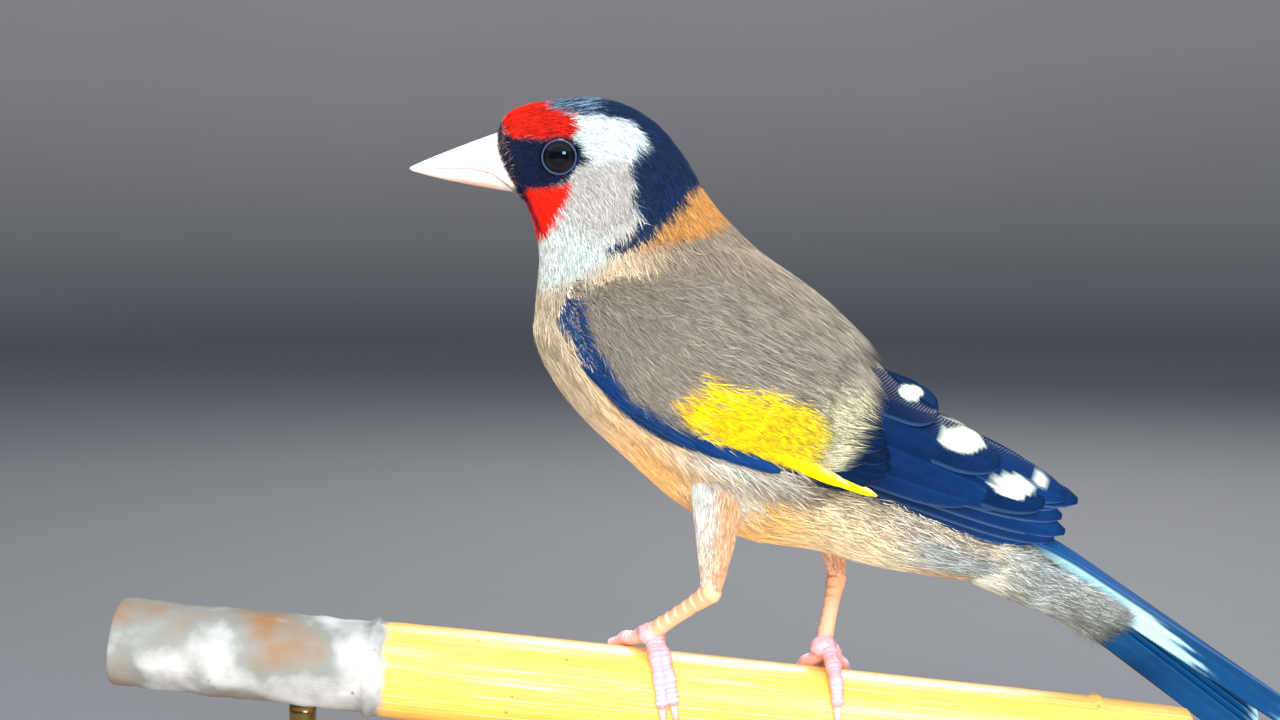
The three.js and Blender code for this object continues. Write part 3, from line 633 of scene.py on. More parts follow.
def wingPoint(side, p, q, out):
    # p and q turned by the wing's angle in x and z; out is the distance from the bird's middle plane
    x = wingBend["x"] + p * wingCosine + q * wingSine
    z = wingBend["z"] - p * wingSine + q * wingCosine
    return stacked(x, side * out + sweep(x), z)


def wingPlace(side):
    return lambda p, q, out: wingPoint(side, p, q, wingOut(p, q) + out)


def wingCoordinates(place):
    x, z = place[..., 0] - wingBend["x"], place[..., 2] - wingBend["z"]
    return x * wingCosine - z * wingSine, x * wingSine + z * wingCosine


wingPatches = [
    {"colour": "cream", "soft": 1.1,
     "outline": [(31.8, 2.6), (36, 4.0), (42, 3.4), (42, -4.6), (34.6, -4.9), (32.8, -3), (31.6, 0)]},
    # the black band is painted blue, standing for the sky's sheen on it
    {"colour": "bandBlueSheen", "soft": 0.35,
     "outline": [(0.7, -7), (0.7, -3), (1.0, 1.8), (2.3, 1.3), (6.3, -2.9), (12.3, -6.4), (18.6, -6.9), (26.5, -6.4),
                 (30, -11), (10, -13)]},
    {"colour": "yellow", "soft": 0.4,
     "outline": [(17.4, -4.8), (18.6, -2.4), (19.4, -0.2), (20.6, -0.8), (22.4, -1.2), (24.9, 0.3), (27.4, 1.1),
                 (29.4, -0.4), (32.2, -2.8), (33.2, -5.2), (25.8, -6.3), (22.9, -6.6), (19.3, -6.2)]},
]
bandPatch, yellowPatch = wingPatches[1:]


def wingColours(p, q):
    p = p + rng.normal(0, 0.2, len(p))
    q = q + rng.normal(0, 0.15, len(p))
    base = blend(tint["mantle"], tint["mantleWarm"], smooth(q, 2, 9) * smooth(14 - p, 0, 10) * 0.5)
    # painted light: the wing is darker at its bend and lighter towards the rear, making up for the light that falls off
    # along it
    base = blend(base, tint["breast"], smooth(4 - p, 0, 6) * 0.5) * mix(0.68, 0.98, smooth(p, -2, 30))[:, None]
    base = blend(base, tint["breast"], smooth(1.4 - p, 0, 0.8))
    for patch in wingPatches:
        base = blend(base, tint[patch["colour"]], patchMask(p, q, patch["outline"], patch["soft"]))
    yellow = patchMask(p, q, yellowPatch["outline"], 0.4)
    base = blend(base, tint["yellowDeep"], yellow * smooth(20.5 - p, 0, 2.5))
    base = blend(base, tint["yellowPale"], yellow * smooth(p, 28.5, 33) * 0.8)
    return base


print("stage body")
depthStations = [0.3, 0.5, 0.7, 0.8, 0.9, 1.0, 1.2, 1.4, 1.5, 1.5, 1.5, 1.5, 1.5, 1.4, 1.2, 1.0, 0.8, 0.6]
bodyRows, bodyColumns = 240, 128
rowT, columnTurn = np.meshgrid(np.linspace(0, lastSection, bodyRows), fullTurn(bodyColumns), indexing="ij")
outlineGrid = bodyOutline(rowT, columnTurn)
axisGrid = outlineGrid.mean(1, keepdims=True)
outlineSurface = makeSurface(outlineGrid, True, axisGrid)
coatDepth = spline(depthStations, rowT)
skinGrid = outlineGrid - outlineSurface["grid"][..., 3:] * coatDepth[..., None]
bodySurface = makeSurface(skinGrid, True, axisGrid)
skinTint = bodyColours(outlineGrid.reshape(-1, 3), np.cos(columnTurn).ravel()).reshape(skinGrid.shape)
skinUv = np.stack([columnTurn / (2 * np.pi), rowT / lastSection], -1)


# Thighs. A tapering tube from inside the belly to the heel; fore is the side towards the bill.

legs = {
    "left": {"hip": (9.2, -7.0, -12.5), "heel": (8.1, -9.6, -25.7), "ball": (1.2, -1.0, -32.1), "thick": 3.6,
             "toes": {"inner": {"s": (62.3, 56.6), "turn": (0, -66), "split": 0.66, "joints": 2},
                      "middle": {"s": (62.6, 65.4), "turn": (7, 122), "split": 0.68, "joints": 3},
                      "outer": {"s": (63.0, 67.0), "turn": (7, 116), "split": 0.68, "joints": 3},
                      "hind": {"s": (63.2, 65.0), "turn": (6, -122), "split": 0.62, "joints": 1}}},
    "right": {"hip": (22.6, 6.8, -14.5), "heel": (24.2, 10.6, -27.6), "ball": (21.8, 1.7, -34.2), "thick": 3.3,
              "toes": {"inner": {"s": (84.2, 88.2), "turn": (-14, -78), "split": 0.66, "joints": 2},
                       "middle": {"s": (83.8, 85.2), "turn": (-8, 100), "split": 0.68, "joints": 3},
                       "outer": {"s": (83.4, 79.6), "turn": (-14, -80), "split": 0.66, "joints": 2},
                       "hind": {"s": (83.9, 84.4), "turn": (-13, -134), "split": 0.62, "joints": 1}}},
}


def pathRings(path, radii, sides, across=1.0):
    # rings square to a path; the first cross direction stays as near to y as the path lets it
    forward = unit(np.gradient(path, axis=0))
    side = np.array([0.0, 1.0, 0.0]) - forward * forward[:, 1:2]
    side = np.where(np.linalg.norm(side, axis=1, keepdims=True) < 0.05, [[1.0, 0.0, 0.0]], side)
    side = unit(side)
    up = np.cross(forward, side)
    turn = fullTurn(sides)
    radii = np.broadcast_to(np.asarray(radii, float), (sides, len(path))).T if np.ndim(radii) < 2 else radii
    return path[:, None] + radii[..., None] * (
        across * side[:, None] * np.cos(turn)[:, None] + up[:, None] * np.sin(turn)[:, None]
    )


def thighRings(leg, shrink, rows, sides):
    hip, heel = np.array(leg["hip"]), np.array(leg["heel"])
    f = np.linspace(0, 1, rows)
    radius = leg["thick"] * mix(1.2, 0.46, f ** 0.9) - shrink
    radius = radius * np.sqrt(np.clip((1.02 - f) / 0.06, 0.05, 1))
    return pathRings(mix(hip, heel, f[:, None]), radius, sides)


skinParts = [tubePart(skinGrid, skinTint, skinUv)]
thighSurfaces = {}
for legName, leg in legs.items():
    rings = thighRings(leg, 0.7, 40, 32)
    thighSurfaces[legName] = makeSurface(rings, True, rings.mean(1, keepdims=True))
    skinParts.append(tubePart(rings, paint(240, 196, 160)))
makePiece("skin", skinParts, softFeather, ["head", "neck", "torso", "thigh_left", "thigh_right"],
          bakeMap=True)

print("stage wing shoulders")
shoulder = {"rows": 120, "columns": 64, "reach": 1.055, "thick": 1.9, "sunk": 0.75, "rearLift": 0.7,
            "closeLow": 1.4, "closeHigh": 1.2, "deep": (2.2, 0.5)}
wingSurfaces = {}
for wingName, side in (("left", -1), ("right", 1)):
    u, v = np.meshgrid(np.linspace(0, shoulder["reach"], shoulder["rows"]), np.linspace(0, 1, shoulder["columns"]),
                       indexing="ij")
    p = u * shoulderEnd
    past = np.maximum(0, u - 1) / (shoulder["reach"] - 1)
    low = spline(shoulderLow, np.minimum(u, 1) * shoulderSpans) + shoulder["closeLow"] * past
    high = spline(shoulderHigh, np.minimum(u, 1) * shoulderSpans) - shoulder["closeHigh"] * past
    q = mix(low, high, v)
    # out is the wing's under-surface and a flat dome on it; the edges keep close to the body
    thick = shoulder["thick"] * np.minimum(1, 0.1 + 2.6 * u)
    dome = np.sqrt(np.maximum(0, 1 - (2 * v - 1) ** 4))
    lifted = wingOut(p, q) + thick * dome - shoulder["sunk"] + shoulder["rearLift"] * smooth(u, 0.85, 1.1)
    edge = np.minimum(np.minimum(v * (high - low), (1 - v) * (high - low)) / 2.6, p / 3 + 0.2)
    x, _, z = np.moveaxis(wingPoint(side, p, q, 0), -1, 0)
    body = bodyHalfWidth(x, z)
    out = np.maximum(lifted, np.where(body > 0.5, body + mix(-1.5, 0.35, np.clip(edge, 0, 1)), -9))
    outer = wingPoint(side, p, q, out)
    inner = wingPoint(side, p, q, out - mix(*shoulder["deep"], smooth(u, 0.9, 1.0)))
    wingSurfaces[wingName] = makeSurface(outer, False, inner)
    tone = wingColours(p.ravel(), q.ravel()).reshape(outer.shape)
    part = slabPart(outer, inner, tone, tone, np.stack([v, u / shoulder["reach"]], -1))
    makePiece("shoulder_" + wingName, [part], softFeather, ["wing_" + wingName], bakeMap=True)


# Flight feathers. A vane is a grid of u across and v along, closed all round, with a ridge along its shaft.

def vanePart(place, feather, colourOf, across=13, lengthwise=30):
    root, tip = np.array(feather["root"]), np.array(feather["tip"])
    run = tip - root
    length = np.hypot(*run)
    direction = run / length
    v = np.linspace(0, 1, lengthwise)[:, None]
    u = np.linspace(0, 1, across)[None, :]
    w = 2 * u - 1
    quill = mix(0.5, 1, smooth(v, 0, 0.35))
    pointed = feather.get("round", 0.86)
    taper = np.sqrt(np.clip(1 - ((v - pointed) / (1.004 - pointed)) ** 2 * (v > pointed), 0.0, 1))
    wide = feather["half"] * quill * np.maximum(taper, 0.06)
    bend = 4 * feather.get("bow", -0.5) * v * (1 - v)
    p = root[0] + run[0] * v - direction[1] * (bend + wide * w)
    q = root[1] + run[1] * v + direction[0] * (bend + wide * w)
    high = mix(feather["lift"][0], feather["lift"][1], v) - w * feather.get("tuck", 0.16)
    high = high + 0.16 * (1 - w * w) + 0.05 * np.exp(-((u - shaftAt) / 0.05) ** 2)
    thick = 0.07 + 0.08 * (1 - np.abs(w)) * (1 - 0.6 * v)
    tone = colourOf(u, v, p, q) * (1 + 0.25 * np.exp(-((u - shaftAt) / 0.04) ** 2))[..., None]
    # the upper face may take a share of the colour: on the tail the under face keeps the painted sky reflection and the
    # upper face gets half of it
    topLessSheen = np.clip(tone * feather.get("topLessSheen", 1), 0, 1)
    share = wide / feather["half"]
    uv = stacked(u * share + shaftAt * (1 - share), v * length / 30)
    return slabPart(place(p, q, high + thick), place(p, q, high - thick), topLessSheen, np.clip(tone, 0, 1), uv)


wingSpots = [
    {"p": 40.7, "q": 6.7, "long": 1.5, "wide": 0.85},
    {"p": 48.2, "q": 4.2, "long": 2.7, "wide": 1.35},
    {"p": 56.0, "q": 1.6, "long": 2.4, "wide": 1.3},
    {"p": 59.3, "q": 3.6, "long": 0.5, "wide": 1.0},
    {"p": 62.2, "q": 3.2, "long": 0.5, "wide": 0.9},
]


def flightColour(rimShare, lightness):
    # dark vane with pale ovals where the wing's spots lie, a thin pale lower edge, and a paler end
    def colourOf(u, v, p, q):
        base = tint["wingNavy"] * lightness * (1 + 0.5 * smooth(v, 0.5, 1.0))[..., None]
        ragged = 0.07 * np.sin(u * 17 + p) + 0.04 * np.sin(u * 31 + 1)
        for spot in wingSpots:
            away = np.hypot((p - spot["p"]) / spot["long"], (q - spot["q"] - 0.22 * (p - spot["p"])) / spot["wide"])
            base = blend(base, tint["spot"], smooth(1 - away + ragged, -0.1, 0.14))
        rim = smooth(0.09 - u, 0, 0.06) * smooth(v, 0.3, 0.8) * rimShare
        return blend(base, tint["wingEdge"], rim)
    return colourOf


def yellowColour(u, v, p, q):
    base = blend(tint["yellow"], tint["yellowDeep"], smooth(20.5 - p, 0, 3) * 0.9)
    return blend(base, tint["yellowPale"], smooth(v, 0.8, 1.0) * smooth(u, 0.5, 1.0))


def between(pair, t):
    return tuple(mix(np.array(pair[0], float), np.array(pair[1], float), t))


wingTiers = [
    {"count": 8, "root": [(18, -5.6), (24, -1.0)], "tips": [(55.5, -4.9), (58.6, -4.3), (61.2, -3.4), (63.4, -2.2),
     (64.3, -0.9), (63.2, 0.6), (62.6, 1.9), (64.4, 3.0)], "half": (1.9, 2.0), "lift": (0.2, 0.8), "rise": 0.5,
     "rim": 0.8, "light": 1.25},
    {"count": 5, "root": [(21, -2.5), (26, 5.2)], "tips": [(52, -1.6), (56.5, -0.3), (59.4, 1.0), (61.2, 2.0),
     (62.8, 2.8)], "half": (2.2, 2.2), "lift": (0.95, 1.25), "rise": 0.5, "rim": 0.5, "light": 1.2},
    {"count": 3, "root": [(24, 1.4), (26, 6.0)], "tips": [(60.4, 1.2), (53.4, 3.4), (44.6, 6.0)],
     "half": (2.8, 2.3), "lift": (1.45, 1.8), "rise": 2.2, "rim": 0.3, "light": 0.8, "grid": (21, 60)},
    {"count": 8, "root": [(18, -4.8), (25, 2.4)], "tips": [(38.5, -5.1), (39.6, -4.1), (40.6, -3.0), (41.0, -1.9),
     (40.4, -0.7), (39.4, 0.6), (38.2, 1.9), (37, 3.2)], "half": (1.5, 1.9), "lift": (1.7, 2.0), "rise": 1.9,
     "rim": 0.25, "light": 0.45},
    {"count": 6, "root": [(3, -4.0), (9, -5.8)], "tips": [(13, -7.2), (16.5, -7.8), (20, -8.1), (23.4, -7.9),
     (26.6, -7.4), (29.6, -6.9)], "half": (0.65, 0.95), "lift": (0.8, 1.5), "rise": 1.5, "rim": 0.7, "light": 1.7},
]
yellowTier = {"count": 3, "root": [(20, -4.4), (22, -3.6)], "tips": [(40.9, -5.2), (37.4, -5.4), (35.0, -5.2)],
              "half": (0.8, 0.9), "lift": (2.0, 2.1)}

for wingName, side in (("left", -1), ("right", 1)):
    place = wingPlace(side)
    parts = []
    for tier in wingTiers:
        for k in range(tier["count"]):
            t = k / (tier["count"] - 1)
            root, tip = between(tier["root"], t), tier["tips"][k]
            lift = mix(*tier["lift"], t)
            feather = {"root": root, "tip": tip, "half": mix(*tier["half"], t), "lift": (lift - tier["rise"], lift),
                       "round": 0.8 if tier["count"] == 3 else 0.76}
            tone = flightColour(tier["rim"], tier["light"] * rng.uniform(0.8, 1.2))
            parts.append(vanePart(place, feather, tone, *tier.get("grid", (13, 30))))
    for k in range(yellowTier["count"]):
        t = k / (yellowTier["count"] - 1)
        lift = mix(*yellowTier["lift"], t)
        feather = {"root": between(yellowTier["root"], t), "tip": yellowTier["tips"][k],
                   "half": 0.7 if k == 0 else mix(*yellowTier["half"], t), "lift": (lift - 1.7, lift),
                   "round": 0.7, "bow": -0.3}
        parts.append(vanePart(place, feather, yellowColour, 9, 22))
    makePiece("flightFeathers_" + wingName, parts, flightFeather)

print("stage tail")
tail = {"x": 37.5, "z": -15.0, "angle": math.radians(35.6), "roll": math.radians(33), "length": 53, "fork": 4.5}


def tailPlace(a, b, c):
    # a along the tail, b across to the bird's right, c above; the tail is rolled, left edge up
    roll = tail["roll"] * smooth(a, -12, 18)
    across = b * np.cos(roll) + c * np.sin(roll)
    up = c * np.cos(roll) - b * np.sin(roll)
    x = tail["x"] + a * math.cos(tail["angle"]) + up * math.sin(tail["angle"])
    z = tail["z"] - a * math.sin(tail["angle"]) + up * math.cos(tail["angle"])
    return stacked(x, across + sweep(x), z)


def tailColour(pair, side):
    # navy vane raised to a bright blue that is painted sky reflection, pale tip, and on the outer pairs a long white
    # patch on the web towards the tail's middle
    def colourOf(u, v, p, q):
        inner = u if side < 0 else 1 - u
        patch = smooth(inner, 0.12, 0.2) * smooth(v, 0.22, 0.32)
        patch = patch * smooth(0.67 - v + 0.04 * np.sin(u * 19) - 0.2 * (0.5 - inner), 0, 0.05)
        base = blend(tint["tailNavySkySheen"], tint["tailWhite"], patch * (pair >= 1 and side < 0))
        tip = smooth(v + 0.02 * np.sin(u * 17), 0.955, 0.975)
        base = blend(base, tint["tailWhite"], tip * 0.9)
        rim = smooth(0.04 - inner, 0, 0.03) * smooth(v, 0.2, 0.5) * 0.6
        return blend(base, tint["wingEdge"], rim)
    return colourOf


parts = []
for pair in range(6):
    for side in (-1, 1):
        layer = -0.24 * (2 * pair + (side < 0))
        # the upper face gets half the colour, as the under face carries the painted sky reflection
        feather = {"root": (-2, side * (0.3 + 0.32 * pair)), "tip": (tail["length"] - tail["fork"] * (1 - pair / 5),
                   side * (1.3 + 0.84 * pair)), "half": 2.85, "lift": (layer, layer), "tuck": 0.0, "bow": 0.0,
                   "round": 0.93, "topLessSheen": 0.5}
        parts.append(vanePart(tailPlace, feather, tailColour(pair, side), 15, 36))
makePiece("tailFeathers", parts, flightFeather, ["tail"])

# the feathers under the tail lie on a bowl below it, c = -2.9 - depth (1 - b squared), which thins out to the rear
covertFrom, covertTo = np.array([5.4, -4.2]), np.array([26.5, 5.6])
covertRows, covertColumns = 60, 40
covertShares = np.stack(np.meshgrid(np.linspace(0, 1, covertRows), np.linspace(0, 1, covertColumns), indexing="ij"), -1)
covertA, covertB = np.moveaxis(mix(covertFrom, covertTo, covertShares), -1, 0)
covertDepth = np.interp(covertA, [5.4, 7.5, 9.5, 15.5, 20, 26.5], [4.8, 5.4, 5.1, 3.7, 2.0, 0.1])
covertC = -2.9 - covertDepth * (1 - ((covertB - 0.5) / 5.9) ** 2)
covertOuter = tailPlace(covertA, covertB, covertC)
covertInner = tailPlace(covertA, covertB, covertC + 0.4)
covertSurface = makeSurface(covertOuter, False, covertInner)


def undertailColours(a, b):
    grey = smooth(np.sin(a * 0.55 + 1.2 * np.sin(b * 0.8)), -0.2, 0.9)
    base = blend(tint["undertail"], tint["undertailGrey"], grey * 0.4)
    return blend(base, tint["flankPale"] * 0.6, smooth(14 - a, 0, 5) * 0.7)


covertTone = undertailColours(covertA, covertB)
makePiece("undertail", [slabPart(covertOuter, covertInner, covertTone, covertTone, covertShares[..., ::-1])],
          softFeather, bakeMap=True)

print("stage coat")
gridP, gridQ = wingCoordinates(outlineGrid)
nearEye = np.hypot(outlineGrid[..., 0] - eye["x"], outlineGrid[..., 2] - eye["z"]) < 2.0
nearEye &= np.abs(outlineGrid[..., 1]) > 4
shoulderSpan = np.clip(gridP / shoulderEnd, 0, 1) * shoulderSpans
covered = (gridP > 3) & (gridP < 33) & (gridQ > spline(shoulderLow, shoulderSpan) + 1.6)
covered &= gridQ < spline(shoulderHigh, shoulderSpan) - 1.8
covered |= (gridP > 24) & (gridP < 50) & (gridQ > -4.0) & (gridQ < 4.0)
openShare = ~(covered | nearEye)


def rootUp(b):
    return np.cos(b * 2 * np.pi / bodyColumns)


def bodyLook(a, b):
    # sizes by place: shortest on the face, longest on the flanks and under the tail
    place, _ = sample(outlineSurface, a, b)
    t = a / (bodyRows - 1) * lastSection
    x, z = place[:, 0], place[:, 2]
    toEye = np.hypot(x - eye["x"], z - eye["z"])
    face = smooth(toEye, 2.0, 7.0) * smooth(t, 0.2, 2.5)
    length = mix(0.7, 1.7, face)
    rearShare = smooth(t, 13.5, 16.8) * (1 - 0.7 * smooth(rootUp(b), -0.2, 0.4))
    length = length + 1.1 * smooth(t, 4, 7) + 1.6 * smooth(t, 8, 12) + 2.2 * rearShare
    depth = spline(depthStations, t)
    return place, t, length, depth


coatKinds = [
    {"name": "hairs", "form": hairForm, "each": 5, "width": 0.105, "spread": 0.3, "stray": 0.08},
    {"name": "barbs", "form": barbForm, "each": 3, "width": 0.13, "spread": 0.22, "stray": 0.12},
]


def growCoat(entry, surface, share, lookAt):
    # roots in small fans that share a turn and a tone; hairs are straight, barbs follow the surface
    parts = []
    for kind in coatKinds:
        each = kind["each"]
        a, b = scatter(surface, int(entry[kind["name"]] * density) // each, share)
        turned = np.repeat(rng.normal(0, 0.09, len(a)), each)
        shared = np.repeat(rng.normal(1, 0.035, len(a)), each)
        a, b, fan = cluster(surface, a, b, each, kind["spread"], 0.16)
        look = lookAt(a, b)
        count = len(a)
        size = featherSizes(
            count, look["length"] * rng.uniform(0.75, 1.2, count),
            kind["width"] * look.get("wide", 1.0) * rng.uniform(0.7, 1.3, count),
            look.get("yaw", 0) + turned + fan + rng.normal(0, kind["stray"], count),
            rng.normal(0, 0.12, count), look["depth"] * rng.uniform(0.15, 0.8, count))
        size["low"] = np.maximum(size["low"], size["high"] - rng.uniform(0.15, 0.3, count))
        tone = shared * rng.normal(1, 0.06, count)
        tone = np.where(rng.random(count) < look["darkShare"], tone * 0.7, tone)
        parts.append(growFeathers(surface, a, b, size, look["colour"] * tone[:, None], kind["form"]))
    makePiece(entry["name"], parts, softFeather, bakeMap=True)


def ahead(surface, a, b, length, yaw=0):
    # the place where a feather is seen best, 0.6 of its length from the root
    speedA, speedB = speedAt(surface, a, b)
    return a + 0.6 * length * np.cos(yaw) / speedA, b + 0.6 * length * np.sin(yaw) / speedB


def bodyCoatLook(a, b):
    # beside the wings the feathers stand higher and lie over the edges of the wings
    place, t, length, depth = bodyLook(a, b)
    dark = 0.1 * smooth(rootUp(b), -0.3, 0.3) * smooth(t, 4.5, 6) + 0.05
    p, q = wingCoordinates(place)
    span = np.clip(p / shoulderEnd, 0, 1) * shoulderSpans
    outside = np.max([-p, p - 30, spline(shoulderLow, span) - q, q - spline(shoulderHigh, span)], axis=0)
    beside = smooth(3.4 - np.abs(outside), 0, 2.4) * smooth(t, 5, 6.5)
    seen = sample(outlineSurface, *ahead(bodySurface, a, b, length))[0]
    return {"length": length * (1 + 0.25 * beside), "depth": depth * (1 + 1.1 * beside), "darkShare": dark,
            "colour": bodyColours(seen, rootUp(b)), "wide": mix(0.85, 1.0, smooth(t, 3, 7))}


coatPieces = [
    {"name": "coatFace", "rows": (0.0, 2.9), "hairs": 28000, "barbs": 4200, "slot": "head_feathers"},
    {"name": "coatCheek", "rows": (2.9, 4.8), "hairs": 27000, "barbs": 4000, "slot": "head_feathers"},
    {"name": "coatNeck", "rows": (4.8, 7.2), "hairs": 27000, "barbs": 4000, "slot": "brown_feathers"},
    {"name": "coatBreast", "rows": (7.2, 9.6), "hairs": 25500, "barbs": 5000, "slot": "brown_feathers"},
    {"name": "coatBelly", "rows": (9.6, 12.2), "hairs": 25500, "barbs": 5000, "slot": "brown_feathers"},
    {"name": "coatVent", "rows": (12.2, 16.5), "hairs": 22000, "barbs": 6000, "slot": "tail_feathers"},
]
for entry in coatPieces:
    growCoat(entry, bodySurface, openShare * ((rowT >= entry["rows"][0]) & (rowT < entry["rows"][1])), bodyCoatLook)

a, b = scatter(bodySurface, int(3000 * density), openShare * (rowT > 2.4))
place, t, length, depth = bodyLook(a, b)
count = len(a)
size = featherSizes(count, length * 1.1, mix(0.9, 1.7, smooth(t, 4, 8)) * rng.uniform(0.85, 1.15, count),
                    rng.normal(0, 0.1, count), 0, depth * 0.3, -0.05)
tone = rng.normal(0.95, 0.04, count)[:, None]
growPiece("coatUnder", bodySurface, a, b, size, bodyColours(place, rootUp(b)) * tone, plateForm)

print("stage wing coat")
for wingName, surface in wingSurfaces.items():
    def wingCoatLook(a, b):
        p, q = wingCoordinates(sample(surface, a, b)[0])
        band = patchMask(p, q, bandPatch["outline"], 0.4)
        yaw = -0.34 * smooth(24 - p, 0, 22) * (1 - band)
        reach = mix(2.4, 4.6, smooth(p, 4, 26))
        p, q = wingCoordinates(sample(surface, *ahead(surface, a, b, reach, yaw))[0])
        yellow = patchMask(p, q, yellowPatch["outline"], 0.4)
        ragged = rng.uniform(0.35, 0.85, len(p))
        length = mix(2.4, 4.6, smooth(p, 4, 26)) * (1 - 0.3 * band) * mix(1, ragged, smooth(p, 30, 33) * (1 - yellow))
        return {"length": length, "depth": 0.9,
                "darkShare": 0.2 * (1 - yellow) * (1 - smooth(p, 28, 33)), "colour": wingColours(p, q),
                "yaw": yaw, "wide": mix(0.85, 1.3, yellow)}
    rowShare = np.where(np.arange(shoulder["rows"]) < 10, 0.7, 1.0)[:, None]
    entry = {"name": "coatShoulder_" + wingName, "hairs": 22000, "barbs": 5000, "slot": "wing_feathers"}
    growCoat(entry, surface, rowShare, wingCoatLook)

    a, b = scatter(surface, int(2600 * density), 1.0)
    p, q = wingCoordinates(sample(surface, a, b)[0])
    kept = (p < 30) & (patchMask(p, q, yellowPatch["outline"], 0.3) > 0.5)
    a, b, fan = cluster(surface, a[kept], b[kept], 6, 0.4, 0.12)
    p, q = wingCoordinates(sample(surface, a, b)[0])
    count = len(a)
    size = featherSizes(count, rng.uniform(2.6, 4.4, count), rng.uniform(0.14, 0.24, count),
                        fan + rng.normal(0, 0.07, count), rng.normal(0, 0.08, count),
                        rng.uniform(0.7, 1.15, count), 0.1)
    colours = wingColours(p, q) * rng.normal(1, 0.05, (count, 1))
    growPiece("yellowFringe_" + wingName, surface, a, b, size, colours)

print("stage under tail and belly")


def undertailLook(a, b):
    placeA = mix(covertFrom[0], covertTo[0], a / (covertRows - 1))
    placeB = mix(covertFrom[1], covertTo[1], b / (covertColumns - 1))
    return {"length": mix(3.4, 5.2, smooth(placeB, -4, -1)), "depth": 0.6, "darkShare": 0.02, "wide": 1.0,
            "colour": undertailColours(placeA + 2.5, placeB)}


growCoat({"name": "coatUndertail", "hairs": 12000, "barbs": 3500, "slot": "tail_feathers"}, covertSurface,
         covertA < 23, undertailLook)

# loose white feathers hang over the roots of the thighs
hipShare = sum(np.exp(-np.sum((outlineGrid - np.array(leg["hip"]) - [0, 0, 2]) ** 2, -1) / 9) for leg in legs.values())
a, b = scatter(bodySurface, int(2400 * density), hipShare * (np.cos(columnTurn) < -0.1) * (rowT > 9.4))
count = len(a)
size = featherSizes(count, rng.uniform(2.5, 4.6, count), rng.uniform(0.07, 0.12, count),
                    rng.normal(0, 0.3, count), rng.normal(0, 0.25, count), rng.uniform(0.6, 1.9, count), 0.2)
wispTone = mix(tint["white"], tint["flankPale"], rng.random((count, 1))) * rng.normal(1, 0.05, (count, 1))
growPiece("bellyWisps", bodySurface, a, b, size, wispTone)

print("stage thigh coat")
for legName, surface in thighSurfaces.items():
    def thighCoatLook(a, b):
        normal = sample(surface, a, b)[1]
        down = a / surface["grid"].shape[0]
        fore = smooth(-normal[:, 0], -0.3, 0.5) * (0.95 if legName == "left" else 0.3)
        base = blend(paint(238, 190, 150), tint["white"], fore * (1 - 0.7 * down))
        base = blend(base, paint(240, 168, 132), smooth(down, 0.5, 0.95) * 0.7 * (1 - fore))
        return {"length": mix(3.2, 1.0, down), "depth": 0.4, "darkShare": 0, "colour": base, "wide": 0.9}
    entry = {"name": "coatThigh_" + legName, "hairs": 4500, "barbs": 1200, "slot": "brown_feathers"}
    growCoat(entry, surface, 1.0, thighCoatLook)

print("stage bill and eyes")


bill = {"x": -15.4, "z": 23.0, "long": 11.4, "drop": 0.7, "high": 3.55, "wide": 3.05, "lean": math.radians(-18.5),
        "taper": 0.86, "sides": 56, "gap": 0.025, "nostril": (-17.0, 2.2, 24.7)}


def billRings(t):
    # a cone with a narrow ridge: radius falls as (1 - t) to the power of the taper, down to a fine tip
    lean = bill["lean"] * (1 - np.clip(t, 0, 1))
    fall = np.maximum(0, 1 - t) ** bill["taper"]
    turn = fullTurn(bill["sides"])
    up = (0.1 * (t < 0.995) + bill["high"] * fall) * np.cos(turn)
    across = (0.09 * (t < 0.995) + bill["wide"] * fall) * np.sin(turn) * (1 - 0.14 * np.maximum(0, np.cos(turn)))
    x = bill["x"] - bill["long"] * t + up * np.sin(lean)
    return stacked(x, across, bill["z"] - bill["drop"] * t + up * np.cos(lean))


mouthX = [-28.5, -23.5, -19.6, -17.0, -15.1, -12.5]
mouthZ = [22.15, 22.3, 22.3, 21.7, 20.2, 17.6]
t = np.concatenate([np.linspace(-0.14, 0.9, 60), np.linspace(0.905, 1.0, 14)])[:, None]
cone = billRings(t)
for nostrilSide in (-1, 1):
    away = np.linalg.norm((cone - bill["nostril"] * np.array([1, nostrilSide, 1])) / [1.5, 1.0, 0.8], axis=-1)
    cone[..., 1] -= nostrilSide * 0.4 * np.exp(-(away / 0.4) ** 2)
line = np.interp(cone[..., 0], mouthX, mouthZ)
upperRings, lowerRings = cone.copy(), cone.copy()
upperRings[..., 2] = np.maximum(cone[..., 2], line + bill["gap"])
lowerRings[..., 2] = np.minimum(cone[..., 2], line - bill["gap"])
lowerRings[..., 1] *= 0.965
upperTone = blend(paint(232, 220, 220), paint(206, 188, 190), smooth(t, 0.75, 1.0) * 0.5)
lowBelly = smooth(line - cone[..., 2], 0.6, 2.6) * smooth(0.95 - t, 0, 0.5)
lowerTone = blend(paint(232, 204, 196), paint(232, 158, 138), lowBelly)
makePiece("billUpper", [tubePart(upperRings, upperTone)], billHorn, ["bill_upper"])
makePiece("billLower", [tubePart(lowerRings, lowerTone)], billHorn, ["bill_lower"])

a, b = scatter(bodySurface, int(1500 * density), rowT < 0.9)
count = len(a)
size = featherSizes(count, rng.uniform(1.0, 2.8, count), rng.uniform(0.06, 0.11, count),
                    np.pi + rng.normal(0, 0.35, count), 0, rng.uniform(0.2, 0.6, count), 0)
bristleTone = np.where(rng.random((count, 1)) < 0.78, tint["lore"], tint["bristle"]) * rng.normal(1, 0.15, (count, 1))
growPiece("billBristles", bodySurface, a, b, size, bristleTone)

